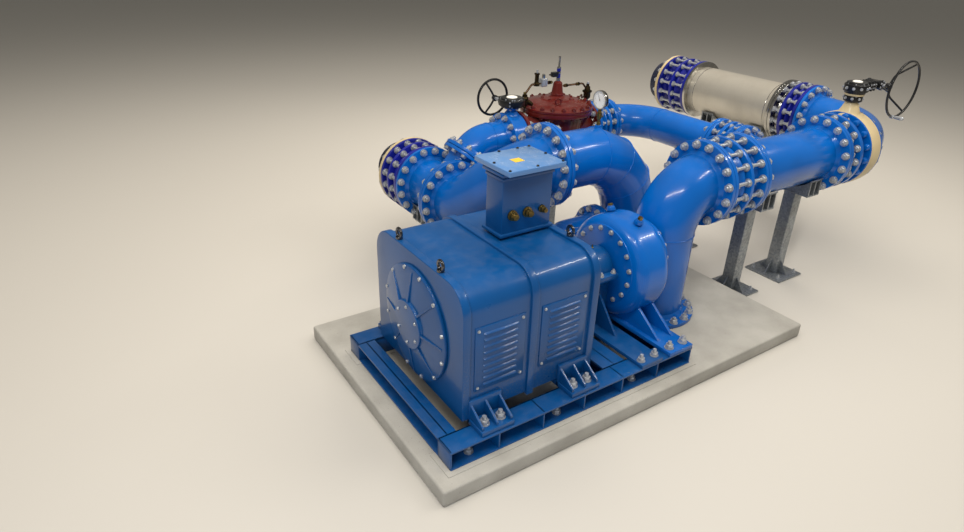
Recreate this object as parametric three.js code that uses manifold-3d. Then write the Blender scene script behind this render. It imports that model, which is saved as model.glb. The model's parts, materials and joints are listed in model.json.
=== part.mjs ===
// Hydro turbine generating set with its inlet, bypass and outlet pipework.
// Millimetres, +Z up. The origin is on the underside of the plinth, straight below the turbine
// shaft, which lies along X. The inlet line arrives from +Y on the right, the outlet leaves at +Y
// on the left.
import * as THREE from "three";
import Module from "manifold-3d";
import { mergeVertices } from "three/addons/utils/BufferGeometryUtils.js";

const wasm = await Module();
wasm.setup();

// Clearance that is left between pieces bolted face to face
const GAP = 0.3;

// Nominal pipes: outside radius, flange radius and flange thickness
const MAIN = { pipe: 203, flange: 290, thick: 30, sides: 20 };
const BYPASS = { pipe: 140, flange: 203, thick: 28, sides: 16 };
const WALL_THICKNESS = 9;

// Plinth
const PLINTH = { left: -1450, right: 1450, near: -710, far: 1010, height: 100, chamfer: 12 };

// Base frame on the plinth
const BASE = { left: -1350, right: 398, width: 1220, height: 120, rail: 130, beam: 110 };
const BASE_TOP = PLINTH.height + BASE.height + 2 * GAP;

// Generator
const SHAFT_HEIGHT = 600;
const GENERATOR = { left: -1200, right: -330, width: 940, bottom: 250, top: 1000, corner: 150 };
const END_SHIELD = { radius: 330, depth: 60 };
const FOOT = { length: 200, reach: 600, width: 190, height: 60, inset: 40 };
const TERMINAL_LID = { left: -720, right: -345, near: -130, far: 200, top: 1400, thick: 30 };
const TERMINAL_BOX = { left: -700, right: -365, near: -50, far: 105 };

// Shaft, coupling guard and bearing housing
const GUARD = { left: -230, right: -60, radius: 165 };
const BEARING = { left: -60, right: 150, radius: 135, pedestal: 200, foot: 24 };
const SHAFT_RADIUS = 45;

// Turbine casing: a scroll round the shaft, wide at its outlet branch low on the far side
const CASING = { left: 150, right: 440, round: 80, large: 365, small: 310, outletZ: 430, outletEnd: 440 };
const CASING_FOOT = { half: 100, far: 380, height: 70 };
const COVER = { radius: 235, depth: 28 };

// Header that feeds the turbine
const HEADER = { y: 0, z: 1000, elbowX: 980, legX: 692, teeX: 1850 };
const HEADER_JOINT = { left: HEADER.elbowX + GAP, right: 1330 };
const HEADER_TEE = { left: 1330 + GAP, right: 2330 };
const HEADER_PORT = { sink: 10, radius: 150 };
const VALVE_JOINT = { left: 2330 + GAP, right: 2620 };
const INLET_VALVE = { left: 2620 + GAP, right: 2720, ring: 294, stemZ: 432 };

// Inlet line from the wall
const INLET = { x: 3370, z: 1000, bend: 615, adaptorNear: 695, spoolNear: 950, spoolFar: 1990,
  spoolRadius: 238, jointFar: 2350, wallEnd: 2530 };

// Dismantling joint: the gland's place along it, its slot, and how far sleeve and gland stand out
const JOINT = { glandAt: 0.42, slot: 22, sleeve: 12, gland: 52 };

// Valve necks: radii at foot and head, and the plate that carries the gearbox
const INLET_NECK = { foot: 48, head: 40, plate: 72, thick: 16, sink: 30 };
const BYPASS_NECK = { foot: 40, head: 32, plate: 58, thick: 14, sink: 40 };

// Bypass with its control valve
const LINE = { y: 1490, z: 1000 };
const CONTROL = { x: 925, left: 400, right: 340, body: 185, coverTop: 290 };
const BYPASS_JOINT = { right: 1480 };

// Control valve's body along the line: distance from the stem, radius
const CONTROL_BODY = [[-400, 203], [-372, 203], [-372, 150], [-250, 165], [-120, 185], [120, 185],
  [210, 165], [312, 150], [312, 203], [340, 203]];

// Profiles about the control valve's stem: height, radius
const BONNET = [[-60, 200], [60, 235], [158, 245], [158, 300], [194, 300]];
const BONNET_COVER = [[194 + GAP, 300], [224, 300], [234, 235], [250, 225], [262, 150], [272, 118],
  [278, 62], [290, 58]];
const INDICATOR = [[0, 50], [16, 50], [16, 42], [112, 30], [112, 18], [222, 18], [222, 9], [308, 9]];

const BYPASS_BEND = { x: HEADER.teeX, radius: 335, end: 540 };
const BRANCH_JOINT = { far: 540 - GAP, near: 310 };
const BYPASS_VALVE = { left: 415, ring: 191, stemZ: 250 };

// Outlet line to the wall
const RISER = { x: 1050, y: 690, z: 1050, bend: 550, leftEnd: 185, linkX: 730 };
const OUTLET_BEND = { cornerX: -10, footY: 1200, radius: 220 };
const OUTLET = { x: -150, z: 650, near: 1350, jointNear: 1750, jointFar: 2020, wallEnd: 2240 };
const BRANCH = { length: 330, cornerX: 150 };

// Handwheels: rim radius, bar radius, dish depth, hub radius and the first spoke's angle
const BIG_WHEEL = { radius: 210, bar: 9, dish: 130, hub: 26, spokes: 3, first: Math.PI / 3 };
const SMALL_WHEEL = { radius: 140, bar: 10, dish: 45, hub: 24, spokes: 3, first: 0 };
const HUB_LENGTH = 34;

// Spokes: where they leave the hub, their knee as a share of the radius, and their thinness
const SPOKE = { root: 10, knee: 0.45, kneeDepth: 22, bar: 0.8, bend: 60 };

// Worm shafts of the handwheels: distance from the valve's stem, length, gearbox height
const BIG_WHEEL_SHAFT = { offset: 270, reach: 90, height: 85, scale: 1 };
const SMALL_WHEEL_SHAFT = { offset: -50, reach: 150, height: 70, scale: 1.2 };

// Gearbox at scale 1: drum over the stem, bridge to the worm, worm case and spindle
const GEARBOX = { drum: 88, bridge: 38, inset: 12, worm: 62, wormShare: 0.46, spindle: 13 };

// Pilot tubing at both ends of the control valve
const PILOT = { reach: 330, tube: 9, neck: 70, corner: 60, bend: 30 };

// Fittings in the pilot tubing, placed from its upright: block, port and upright bowl
const FILTER = {
  seat: 156.7,
  top: 400,
  block: [[-16, -30, 250], [54, 30, 330]],
  port: [[-12, 0, 290], [38, 60, 335]],
  bowl: { low: 330, high: 420, radius: 24, at: [13, 40] },
};
const PILOT_VALVE = {
  seat: 203.4,
  top: 360,
  block: [[-40, -32, 240], [40, 32, 290]],
  port: [[-36, -60, 240], [12, 0, 288]],
  bowl: { low: 285, high: 345, radius: 26, at: [-12, -36] },
};

// Pressure gauge on the outlet riser, its boss and its cock
const GAUGE = { x: 650, dial: 65, depth: 34, z: 1450, stem: 9, stemLength: 10 };
const GAUGE_BOSS = { height: 18, radius: 24 };
const COCK = [[0, 12], [40, 12], [40, 17], [95, 17], [95, 10]];
const COCK_LEVER = { near: -34, far: 20, radius: 9, z: 68 };

// Pipe stands
const STAND = { foot: 300, plate: 14, post: 110, saddle: 150, wing: 60, grip: 0.55, width: 0.8 };

function paint(color, roughness, metalness) {
  return () => new THREE.MeshStandardMaterial({ color, roughness, metalness });
}

const lightBlue = paint(0x0a68c4, 0.35, 0.1);
const royalBlue = paint(0x10208a, 0.4, 0.1);
const stainless = paint(0x9a9892, 0.4, 0.9);
const maroon = paint(0x6e1f1a, 0.4, 0.1);
const black = paint(0x17181a, 0.5, 0.2);
const cream = paint(0xb9ab8c, 0.6, 0.0);
const zinc = paint(0x8f9296, 0.45, 0.8);
const brass = paint(0x8a7a45, 0.4, 0.8);
const concrete = paint(0xa9a8a3, 0.9, 0.0);
const dial = paint(0xe6e6e0, 0.3, 0.0);

function toManifold(geometry) {
  const bare = geometry.index ? geometry.toNonIndexed() : geometry.clone();
  bare.deleteAttribute("normal");
  bare.deleteAttribute("uv");
  const merged = mergeVertices(bare, 1e-3);
  const index = merged.index.array;
  const place = merged.attributes.position.array;
  const corner = (i) => new THREE.Vector3().fromArray(place, index[i] * 3);
  const kept = [];
  let volume = 0;
  for (let i = 0; i < index.length; i += 3) {
    const [a, b, c] = [index[i], index[i + 1], index[i + 2]];
    if (a !== b && b !== c && c !== a) {
      kept.push(a, b, c);
      volume += corner(i).dot(corner(i + 1).cross(corner(i + 2)));
    }
  }
  const faces = volume < 0 ? kept.reverse() : kept;
  const mesh = new wasm.Mesh({
    numProp: 3,
    vertProperties: new Float32Array(place),
    triVerts: new Uint32Array(faces),
  });
  return new wasm.Manifold(mesh);
}

function toGeometry(solid) {
  const mesh = solid.getMesh();
  const geometry = new THREE.BufferGeometry();
  geometry.setAttribute("position", new THREE.BufferAttribute(mesh.vertProperties, 3));
  geometry.setIndex(new THREE.BufferAttribute(mesh.triVerts, 1));
  geometry.computeVertexNormals();
  return geometry;
}

// One closed solid from several overlapping ones, less what is cut away
function joined(pieces, cuts = []) {
  let whole = toManifold(pieces[0]);
  for (const piece of pieces.slice(1)) {
    whole = whole.add(toManifold(piece));
  }
  for (const cut of cuts) {
    whole = whole.subtract(toManifold(cut));
  }
  return toGeometry(whole);
}

function box(from, to) {
  const size = to.map((value, i) => value - from[i]);
  const middle = to.map((value, i) => (value + from[i]) / 2);
  return new THREE.BoxGeometry(...size).translate(...middle);
}

const ALONG = {
  x: (geometry) => geometry.rotateZ(-Math.PI / 2),
  y: (geometry) => geometry,
  z: (geometry) => geometry.rotateX(Math.PI / 2),
};

// A turned solid about one axis, from pairs of place along the axis and radius
function turned(axis, profile, sides = MAIN.sides) {
  const start = [profile[0][0], 0];
  const end = [profile[profile.length - 1][0], 0];
  const points = [start, ...profile, end].map(([place, radius]) => new THREE.Vector2(radius, place));
  return ALONG[axis](new THREE.LatheGeometry(points, sides));
}

function disc(axis, from, to, radius, sides) {
  return turned(axis, [[from, radius], [to, radius]], sides);
}

// An outline in the plane across X, drawn as y and z, extruded along X
function acrossX(shape, from, to, options = {}) {
  const across = new THREE.ExtrudeGeometry(shape, {
    depth: to - from,
    bevelEnabled: false,
    curveSegments: 10,
    ...options,
  });
  const turn = new THREE.Matrix4().set(0, 0, 1, 0, 1, 0, 0, 0, 0, 1, 0, 0, 0, 0, 0, 1);
  return across.applyMatrix4(turn).translate(from, 0, 0);
}

// Centre line of a pipe: straight runs joined by arcs of one radius
class PipeRoute extends THREE.Curve {
  constructor(corners, bendRadius, arcSteps = 6) {
    super();
    const places = corners.map((corner) => new THREE.Vector3(...corner));
    this.stations = [];
    const last = places.length - 1;
    for (let i = 0; i <= last; i += 1) {
      const arrive = places[Math.max(i, 1)].clone().sub(places[Math.max(i - 1, 0)]).normalize();
      const leave = places[Math.min(i + 1, last)].clone().sub(places[Math.min(i, last - 1)]).normalize();
      if (i === 0 || i === last) {
        this.stations.push({ place: places[i], tangent: i === 0 ? leave : arrive });
      } else {
        this.addArc(places[i], arrive, leave, bendRadius, arcSteps);
      }
    }
  }

  addArc(corner, arrive, leave, radius, steps) {
    const angle = arrive.angleTo(leave);
    const back = radius * Math.tan(angle / 2);
    const start = corner.clone().addScaledVector(arrive, -back);
    const inward = leave.clone().addScaledVector(arrive, -arrive.dot(leave)).normalize();
    const centre = start.clone().addScaledVector(inward, radius);
    for (let k = 0; k <= steps; k += 1) {
      const turn = (angle * k) / steps;
      const place = centre
        .clone()
        .addScaledVector(inward, -radius * Math.cos(turn))
        .addScaledVector(arrive, radius * Math.sin(turn));
      const tangent = arrive.clone().multiplyScalar(Math.cos(turn)).addScaledVector(inward, Math.sin(turn));
      this.stations.push({ place, tangent });
    }
  }

  get steps() {
    return this.stations.length - 1;
  }

  getPoint(t) {
    return this.stations[Math.round(t * this.steps)].place.clone();
  }

  getPointAt(t) {
    return this.getPoint(t);
  }

  getTangentAt(t) {
    return this.stations[Math.round(t * this.steps)].tangent.clone();
  }
}

function pipe(corners, radius, bendRadius = 0, sides = MAIN.sides) {
  const route = new PipeRoute(corners, bendRadius);
  const section = new THREE.Shape().absarc(0, 0, radius, 0, Math.PI * 2);
  return new THREE.ExtrudeGeometry(section, {
    steps: route.steps,
    extrudePath: route,
    curveSegments: sides / 2,
  });
}

function addNode(group, name, material, geometry, position = [0, 0, 0]) {
  const mesh = new THREE.Mesh(geometry, material());
  mesh.name = name;
  mesh.position.set(...position);
  group.add(mesh);
  return mesh;
}

function addGroup(parent, position) {
  const group = new THREE.Group();
  group.position.set(...position);
  parent.add(group);
  return group;
}

function addPlinth(group) {
  const { left, right, near, far, height, chamfer } = PLINTH;
  const outline = new THREE.Shape();
  outline.moveTo(near, 0);
  outline.lineTo(far, 0);
  outline.lineTo(far, height - chamfer);
  outline.lineTo(far - chamfer, height);
  outline.lineTo(near + chamfer, height);
  outline.lineTo(near, height - chamfer);
  outline.closePath();
  addNode(group, "plinth", concrete, acrossX(outline, left, right));
}

function addBaseFrame(group) {
  const low = PLINTH.height + GAP;
  const high = low + BASE.height;
  const half = BASE.width / 2;
  for (const [name, side] of [["near", -1], ["far", 1]]) {
    const outer = side * half;
    const inner = side * (half - BASE.rail);
    const rail = box([BASE.left, Math.min(outer, inner), low], [BASE.right, Math.max(outer, inner), high]);
    addNode(group, `base_rail_${name}`, lightBlue, rail);
  }
  const reach = half - BASE.rail - GAP;
  const beams = [
    ["left", BASE.left, BASE.left + BASE.beam],
    ["middle", GUARD.left, GUARD.right],
    ["right", BASE.right - BASE.beam, BASE.right],
  ];
  for (const [name, from, to] of beams) {
    const beam = box([from, -reach, low], [to, reach, high]);
    addNode(group, `base_beam_${name}`, lightBlue, beam);
  }
}

function roundedOutline(halfWidth, low, high, corner) {
  const shape = new THREE.Shape();
  shape.moveTo(-halfWidth, low);
  shape.lineTo(halfWidth, low);
  shape.lineTo(halfWidth, high - corner);
  shape.absarc(halfWidth - corner, high - corner, corner, 0, Math.PI / 2);
  shape.lineTo(-halfWidth + corner, high);
  shape.absarc(-halfWidth + corner, high - corner, corner, Math.PI / 2, Math.PI);
  shape.closePath();
  return shape;
}

function addGenerator(group) {
  const half = GENERATOR.width / 2;
  const parts = [acrossX(roundedOutline(half, GENERATOR.bottom, GENERATOR.top, GENERATOR.corner),
    GENERATOR.left, GENERATOR.right)];
  for (const side of [-1, 1]) {
    for (const start of [GENERATOR.left + FOOT.inset, GENERATOR.right - FOOT.inset - FOOT.length]) {
      const outer = side * FOOT.reach;
      const inner = side * (FOOT.reach - FOOT.width);
      parts.push(box([start, Math.min(outer, inner), BASE_TOP],
        [start + FOOT.length, Math.max(outer, inner), GENERATOR.bottom + FOOT.height]));
    }
  }
  addNode(group, "generator_frame", lightBlue, joined(parts));
  const shields = [
    ["left", GENERATOR.left - END_SHIELD.depth, GENERATOR.left - GAP],
    ["right", GENERATOR.right + GAP, GENERATOR.right + END_SHIELD.depth],
  ];
  for (const [name, from, to] of shields) {
    const shield = disc("x", from, to, END_SHIELD.radius);
    addNode(group, `generator_end_shield_${name}`, lightBlue, shield, [0, 0, SHAFT_HEIGHT]);
  }
}

function addTerminalBox(group) {
  const { left, right, near, far, top, thick } = TERMINAL_LID;
  const body = box([TERMINAL_BOX.left, TERMINAL_BOX.near, GENERATOR.top + GAP],
    [TERMINAL_BOX.right, TERMINAL_BOX.far, top - thick - GAP]);
  addNode(group, "terminal_box", lightBlue, body);
  const cover = box([left, near, top - thick], [right, far, top]);
  addNode(group, "terminal_box_lid", lightBlue, cover);
}

function addShaftLine(group) {
  const guardOutline = new THREE.Shape();
  guardOutline.moveTo(-GUARD.radius, BASE_TOP);
  guardOutline.lineTo(GUARD.radius, BASE_TOP);
  guardOutline.lineTo(GUARD.radius, SHAFT_HEIGHT);
  guardOutline.absarc(0, SHAFT_HEIGHT, GUARD.radius, 0, Math.PI);
  guardOutline.closePath();
  const from = GUARD.left;
  addNode(group, "coupling_guard", zinc, acrossX(guardOutline, from, GUARD.right - GAP));
  const stub = disc("x", GENERATOR.right + END_SHIELD.depth + GAP, from - GAP, SHAFT_RADIUS, 20);
  addNode(group, "generator_shaft", zinc, stub, [0, 0, SHAFT_HEIGHT]);
  const housing = turned("x", [
    [BEARING.left, BEARING.radius],
    [BEARING.right - GAP, BEARING.radius],
  ]).translate(0, 0, SHAFT_HEIGHT);
  const half = BEARING.pedestal / 2;
  const start = BEARING.left + 20;
  const end = BEARING.right - 20;
  const rail = BASE.width / 2;
  const pedestal = box([start, -half, BASE_TOP + 1], [end, half, SHAFT_HEIGHT]);
  const foot = box([start, -rail, BASE_TOP], [end, rail, BASE_TOP + BEARING.foot]);
  addNode(group, "bearing_housing", lightBlue, joined([housing, pedestal, foot]));
}

// Outline of the scroll round the shaft: widest at the bottom, where the outlet leaves it
function scrollOutline() {
  const shape = new THREE.Shape();
  const large = CASING.large - CASING.round;
  const small = CASING.small - CASING.round;
  const steps = 28;
  for (let i = 0; i < steps; i += 1) {
    const angle = (2 * Math.PI * i) / steps;
    const radius = small + (large - small) * (0.5 - 0.5 * Math.sin(angle));
    const point = [radius * Math.cos(angle), radius * Math.sin(angle)];
    if (i === 0) {
      shape.moveTo(...point);
    } else {
      shape.lineTo(...point);
    }
  }
  shape.closePath();
  return shape;
}

function addTurbine(group) {
  const middle = (CASING.left + CASING.right) / 2;
  const scroll = acrossX(scrollOutline(), CASING.left + CASING.round, CASING.right - CASING.round, {
    bevelEnabled: true,
    bevelSize: CASING.round,
    bevelThickness: CASING.round,
    bevelSegments: 3,
  }).translate(0, 0, SHAFT_HEIGHT);
  const outlet = turned("y", [
    [40, BYPASS.pipe - 20],
    [120, BYPASS.pipe],
    [CASING.outletEnd - BYPASS.thick, BYPASS.pipe],
    [CASING.outletEnd - BYPASS.thick, BYPASS.flange],
    [CASING.outletEnd, BYPASS.flange],
  ], BYPASS.sides).translate(middle, 0, CASING.outletZ);
  const rail = BASE.width / 2;
  const foot = box([middle - CASING_FOOT.half, -rail, BASE_TOP],
    [middle + CASING_FOOT.half, CASING_FOOT.far, BASE_TOP + CASING_FOOT.height]);
  addNode(group, "turbine_casing", lightBlue, joined([scroll, outlet, foot]));
  const cover = turned("x", [
    [CASING.right + GAP, COVER.radius],
    [CASING.right + COVER.depth, COVER.radius],
  ]);
  addNode(group, "turbine_cover", lightBlue, cover, [0, 0, SHAFT_HEIGHT]);
}

// Low pipe from the casing outlet to the foot of the riser
function addOutletLink(group) {
  const middle = (CASING.left + CASING.right) / 2;
  const near = CASING.outletEnd + GAP;
  const end = RISER.linkX - GAP;
  const route = [[middle, near, 0], [middle, RISER.y, 0], [end, RISER.y, 0]];
  const link = joined([
    pipe(route, BYPASS.pipe, 190, BYPASS.sides),
    disc("y", near, near + BYPASS.thick, BYPASS.flange, BYPASS.sides).translate(middle, 0, 0),
    disc("x", end - BYPASS.thick, end, BYPASS.flange, BYPASS.sides).translate(0, RISER.y, 0),
  ]);
  addNode(group, "outlet_link", lightBlue, link, [0, 0, CASING.outletZ]);
}

// Two collars with a gland ring between them, for a joint that can be drawn apart
function dismantlingJoint(axis, from, to, size) {
  const middle = from + (to - from) * JOINT.glandAt;
  const sleeve = size.pipe + JOINT.sleeve;
  const gland = size.pipe + JOINT.gland;
  const ring = size.flange;
  const profile = [
    [from, ring],
    [from + size.thick, ring],
    [from + size.thick, sleeve],
    [middle, sleeve],
    [middle, gland],
    [middle + JOINT.slot, ring],
    [middle + JOINT.slot + size.thick, ring],
    [middle + JOINT.slot + size.thick, sleeve],
    [to - size.thick, sleeve],
    [to - size.thick, ring],
    [to, ring],
  ];
  return turned(axis, profile, size.sides);
}

function addHeader(parent) {
  const group = addGroup(parent, [0, HEADER.y, HEADER.z]);
  const radius = HEADER.elbowX - HEADER.legX;
  const foot = PLINTH.height + GAP - HEADER.z;
  const shaft = SHAFT_HEIGHT - HEADER.z;
  const port = CASING.right + COVER.depth + GAP;
  const route = [[HEADER.legX, 0, foot], [HEADER.legX, 0, 0], [HEADER.elbowX, 0, 0]];
  const elbow = joined([
    pipe(route, MAIN.pipe, radius - 1),
    disc("z", foot, foot + MAIN.thick, MAIN.flange).translate(HEADER.legX, 0, 0),
    disc("x", HEADER.elbowX - MAIN.thick, HEADER.elbowX, MAIN.flange),
    disc("x", port, port + BYPASS.thick, COVER.radius).translate(0, 0, shaft),
    disc("x", port + HEADER_PORT.sink, HEADER.legX, HEADER_PORT.radius).translate(0, 0, shaft),
  ]);
  addNode(group, "header_elbow", lightBlue, elbow);
  const joint = dismantlingJoint("x", HEADER_JOINT.left, HEADER_JOINT.right, MAIN);
  addNode(group, "header_joint", lightBlue, joint);
  const branchEnd = BRANCH_JOINT.near - GAP - HEADER.y;
  const tee = joined([
    turned("x", flangedProfile(HEADER_TEE.left, HEADER_TEE.right, MAIN)),
    turned("y", [
      [0, BYPASS.pipe],
      [branchEnd - BYPASS.thick, BYPASS.pipe],
      [branchEnd - BYPASS.thick, BYPASS.flange],
      [branchEnd, BYPASS.flange],
    ], BYPASS.sides).translate(HEADER.teeX, 0, 0),
  ]);
  addNode(group, "header_tee", lightBlue, tee);
  const valveJoint = dismantlingJoint("x", VALVE_JOINT.left, VALVE_JOINT.right, MAIN);
  addNode(group, "valve_joint", lightBlue, valveJoint);
  const ring = disc("x", INLET_VALVE.left, INLET_VALVE.right, INLET_VALVE.ring);
  const middle = (INLET_VALVE.left + INLET_VALVE.right) / 2;
  const neck = valveNeck(INLET_NECK, MAIN.flange, INLET_VALVE.stemZ).translate(middle, 0, 0);
  addNode(group, "inlet_valve", cream, joined([ring, neck]));
  const gearbox = wormGearbox(-1, BIG_WHEEL_SHAFT);
  addNode(group, "inlet_gearbox", black, gearbox, [middle, 0, INLET_VALVE.stemZ + GAP]);
}

// Neck on a butterfly valve's ring, with the plate that the gearbox stands on
function valveNeck(neck, ring, top) {
  return turned("z", [
    [ring - neck.sink, neck.foot],
    [top - neck.thick, neck.head],
    [top - neck.thick, neck.plate],
    [top, neck.plate],
  ], 20);
}

function flangedProfile(from, to, size) {
  return [
    [from, size.flange],
    [from + size.thick, size.flange],
    [from + size.thick, size.pipe],
    [to - size.thick, size.pipe],
    [to - size.thick, size.flange],
    [to, size.flange],
  ];
}

// Quadrant gearbox over an upright stem, with a worm shaft that points to -Y or +Y
function wormGearbox(side, shaft) {
  const middle = shaft.height / 2;
  const pieces = [disc("z", 0, shaft.height, GEARBOX.drum * shaft.scale, 18)];
  const near = GEARBOX.worm * shaft.scale;
  const worm = disc("y", -near, near, shaft.height * GEARBOX.wormShare, 20);
  pieces.push(worm.translate(shaft.offset, 0, middle));
  const tip = side * shaft.reach;
  const spindle = disc("y", Math.min(0, tip), Math.max(0, tip), GEARBOX.spindle, 16);
  pieces.push(spindle.translate(shaft.offset, 0, middle));
  if (Math.abs(shaft.offset) > near) {
    const half = GEARBOX.bridge * shaft.scale;
    pieces.push(box([Math.min(0, shaft.offset), -half, GEARBOX.inset],
      [Math.max(0, shaft.offset), half, shaft.height - GEARBOX.inset]));
  }
  return joined(pieces);
}

// Dished handwheel about the Y axis: its hub is at the origin and its rim lies at +Y * dish
function handwheel(wheel, side) {
  const rim = new THREE.TorusGeometry(wheel.radius, wheel.bar, 6, 30).rotateX(Math.PI / 2)
    .translate(0, side * wheel.dish, 0);
  const hub = disc("y", Math.min(0, side * HUB_LENGTH), Math.max(0, side * HUB_LENGTH), wheel.hub, 20);
  const pieces = [rim, hub];
  for (let i = 0; i < wheel.spokes; i += 1) {
    const angle = (2 * Math.PI * i) / wheel.spokes + wheel.first;
    const at = (radius, depth) => [radius * Math.cos(angle), side * depth, radius * Math.sin(angle)];
    pieces.push(pipe([
      at(SPOKE.root, HUB_LENGTH / 2),
      at(wheel.radius * SPOKE.knee, SPOKE.kneeDepth),
      at(wheel.radius, wheel.dish),
    ], wheel.bar * SPOKE.bar, SPOKE.bend, 6));
  }
  return joined(pieces);
}

function addInletHandwheel(group) {
  const middle = (INLET_VALVE.left + INLET_VALVE.right) / 2;
  const height = HEADER.z + INLET_VALVE.stemZ + GAP + BIG_WHEEL_SHAFT.height / 2;
  const place = [middle + BIG_WHEEL_SHAFT.offset, HEADER.y - BIG_WHEEL_SHAFT.reach - GAP, height];
  addNode(group, "inlet_handwheel", black, handwheel(BIG_WHEEL, -1), place);
}

function addInletLine(parent) {
  const group = addGroup(parent, [INLET.x, 0, INLET.z]);
  const start = INLET_VALVE.right + GAP - INLET.x;
  const bendEnd = INLET.adaptorNear - GAP;
  const route = [[start, HEADER.y, 0], [0, HEADER.y, 0], [0, bendEnd, 0]];
  const bend = joined([
    pipe(route, MAIN.pipe, INLET.bend),
    disc("x", start, start + MAIN.thick, MAIN.flange).translate(0, HEADER.y, 0),
    disc("y", bendEnd - MAIN.thick, bendEnd, MAIN.flange),
  ]);
  addNode(group, "inlet_bend", lightBlue, bend);
  const adaptor = dismantlingJoint("y", INLET.adaptorNear, INLET.spoolNear - GAP, MAIN);
  addNode(group, "inlet_adaptor", royalBlue, adaptor);
  const thicker = { ...MAIN, pipe: INLET.spoolRadius };
  const spool = turned("y", flangedProfile(INLET.spoolNear, INLET.spoolFar, thicker));
  addNode(group, "stainless_spool", stainless, spool);
  const joint = dismantlingJoint("y", INLET.spoolFar + GAP, INLET.jointFar, MAIN);
  addNode(group, "inlet_wall_joint", royalBlue, joint);
  addNode(group, "inlet_wall_pipe", cream, wallPipe(INLET.jointFar + GAP, INLET.wallEnd));
}

// Flanged tube that goes into the wall, open at its far end
function wallPipe(from, to) {
  const bore = MAIN.pipe - WALL_THICKNESS;
  const outside = turned("y", [
    [from, MAIN.flange],
    [from + MAIN.thick, MAIN.flange],
    [from + MAIN.thick, MAIN.pipe],
    [to, MAIN.pipe],
  ]);
  return joined([outside], [disc("y", from - 1, to + 1, bore, MAIN.sides)]);
}

function addBypass(parent) {
  const group = addGroup(parent, [0, LINE.y, LINE.z]);
  const left = CONTROL.x - CONTROL.left;
  const right = CONTROL.x + CONTROL.right;
  const body = joined([turned("x", CONTROL_BODY), turned("z", BONNET)]);
  addNode(group, "control_valve_body", maroon, body, [CONTROL.x, 0, 0]);
  addNode(group, "control_valve_cover", maroon, turned("z", BONNET_COVER), [CONTROL.x, 0, 0]);
  const indicator = turned("z", INDICATOR, 12);
  addNode(group, "position_indicator", maroon, indicator, [CONTROL.x, 0, CONTROL.coverTop + GAP]);
  addPilots(group);
  const corner = BYPASS_BEND.x;
  const bendEnd = BYPASS_BEND.end + GAP - LINE.y;
  const start = BYPASS_JOINT.right + GAP;
  const spacer = dismantlingJoint("x", right + GAP, BYPASS_JOINT.right, BYPASS);
  addNode(group, "bypass_joint", lightBlue, spacer);
  const route = [[start, 0, 0], [corner, 0, 0], [corner, bendEnd, 0]];
  const bend = joined([
    pipe(route, BYPASS.pipe, BYPASS_BEND.radius, BYPASS.sides),
    disc("x", start, start + BYPASS.thick, BYPASS.flange, BYPASS.sides),
    disc("y", bendEnd, bendEnd + BYPASS.thick, BYPASS.flange, BYPASS.sides).translate(corner, 0, 0),
  ]);
  addNode(group, "bypass_bend", lightBlue, bend);
  const joint = dismantlingJoint("y", BRANCH_JOINT.near - LINE.y, BRANCH_JOINT.far - LINE.y, BYPASS);
  addNode(group, "branch_joint", lightBlue, joint, [corner, 0, 0]);
  addBypassValve(group, left);
}

// Pilot tubing at both sides of the cover
function addPilots(group) {
  const lines = [
    ["pilot_filter", -1, FILTER],
    ["pilot_valve", 1, PILOT_VALVE],
  ];
  for (const [name, side, { seat, top, block, port, bowl }] of lines) {
    const x = CONTROL.x + side * PILOT.reach;
    const route = [
      [0, 0, seat],
      [0, 0, top - PILOT.corner],
      [-side * PILOT.corner, 0, top],
      [-side * (PILOT.reach - PILOT.neck), 0, top],
    ];
    const line = joined([
      pipe(route, PILOT.tube, PILOT.bend, 8),
      box(...block),
      box(...port),
      disc("z", bowl.low, bowl.high, bowl.radius, 16).translate(...bowl.at, 0),
    ]);
    addNode(group, name, brass, line, [x, 0, 0]);
  }
}

function addBypassValve(group, controlLeft) {
  const from = BYPASS_VALVE.left;
  const to = controlLeft - GAP;
  const middle = (from + to) / 2;
  const neckTop = BYPASS_VALVE.stemZ;
  const ring = disc("x", from, to, BYPASS_VALVE.ring, BYPASS.sides);
  const neck = valveNeck(BYPASS_NECK, BYPASS.flange, neckTop).translate(middle, 0, 0);
  addNode(group, "bypass_valve", lightBlue, joined([ring, neck]));
  const gearbox = wormGearbox(1, SMALL_WHEEL_SHAFT);
  addNode(group, "bypass_gearbox", black, gearbox, [middle, 0, neckTop + GAP]);
  const height = neckTop + GAP + SMALL_WHEEL_SHAFT.height / 2;
  const hub = [middle + SMALL_WHEEL_SHAFT.offset, SMALL_WHEEL_SHAFT.reach + GAP, height];
  addNode(group, "bypass_handwheel", black, handwheel(SMALL_WHEEL, 1), hub);
  addDropPipe(group, from - GAP);
}

// Where the bypass meets the outlet pipe, seen along +Y: the slope of the last stretch
function branchSlope() {
  const run = new THREE.Vector3(BRANCH.cornerX - OUTLET.x, 0, LINE.z - OUTLET.z);
  return run.normalize();
}

function slopingDisc(centre, direction, thickness, radius, sides) {
  const turn = new THREE.Quaternion().setFromUnitVectors(new THREE.Vector3(0, 1, 0), direction);
  return disc("y", 0, thickness, radius, sides).applyQuaternion(turn).translate(...centre.toArray());
}

function addDropPipe(group, from) {
  const slope = branchSlope();
  const root = new THREE.Vector3(OUTLET.x, 0, OUTLET.z - LINE.z);
  const end = root.clone().addScaledVector(slope, BRANCH.length + GAP);
  const route = [[from, 0, 0], [BRANCH.cornerX, 0, 0], end.toArray()];
  const drop = joined([
    pipe(route, BYPASS.pipe, 220, BYPASS.sides),
    disc("x", from - BYPASS.thick, from, BYPASS.flange, BYPASS.sides),
    slopingDisc(end, slope, BYPASS.thick, BYPASS.flange, BYPASS.sides),
  ]);
  addNode(group, "bypass_drop_pipe", lightBlue, drop);
}

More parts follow.
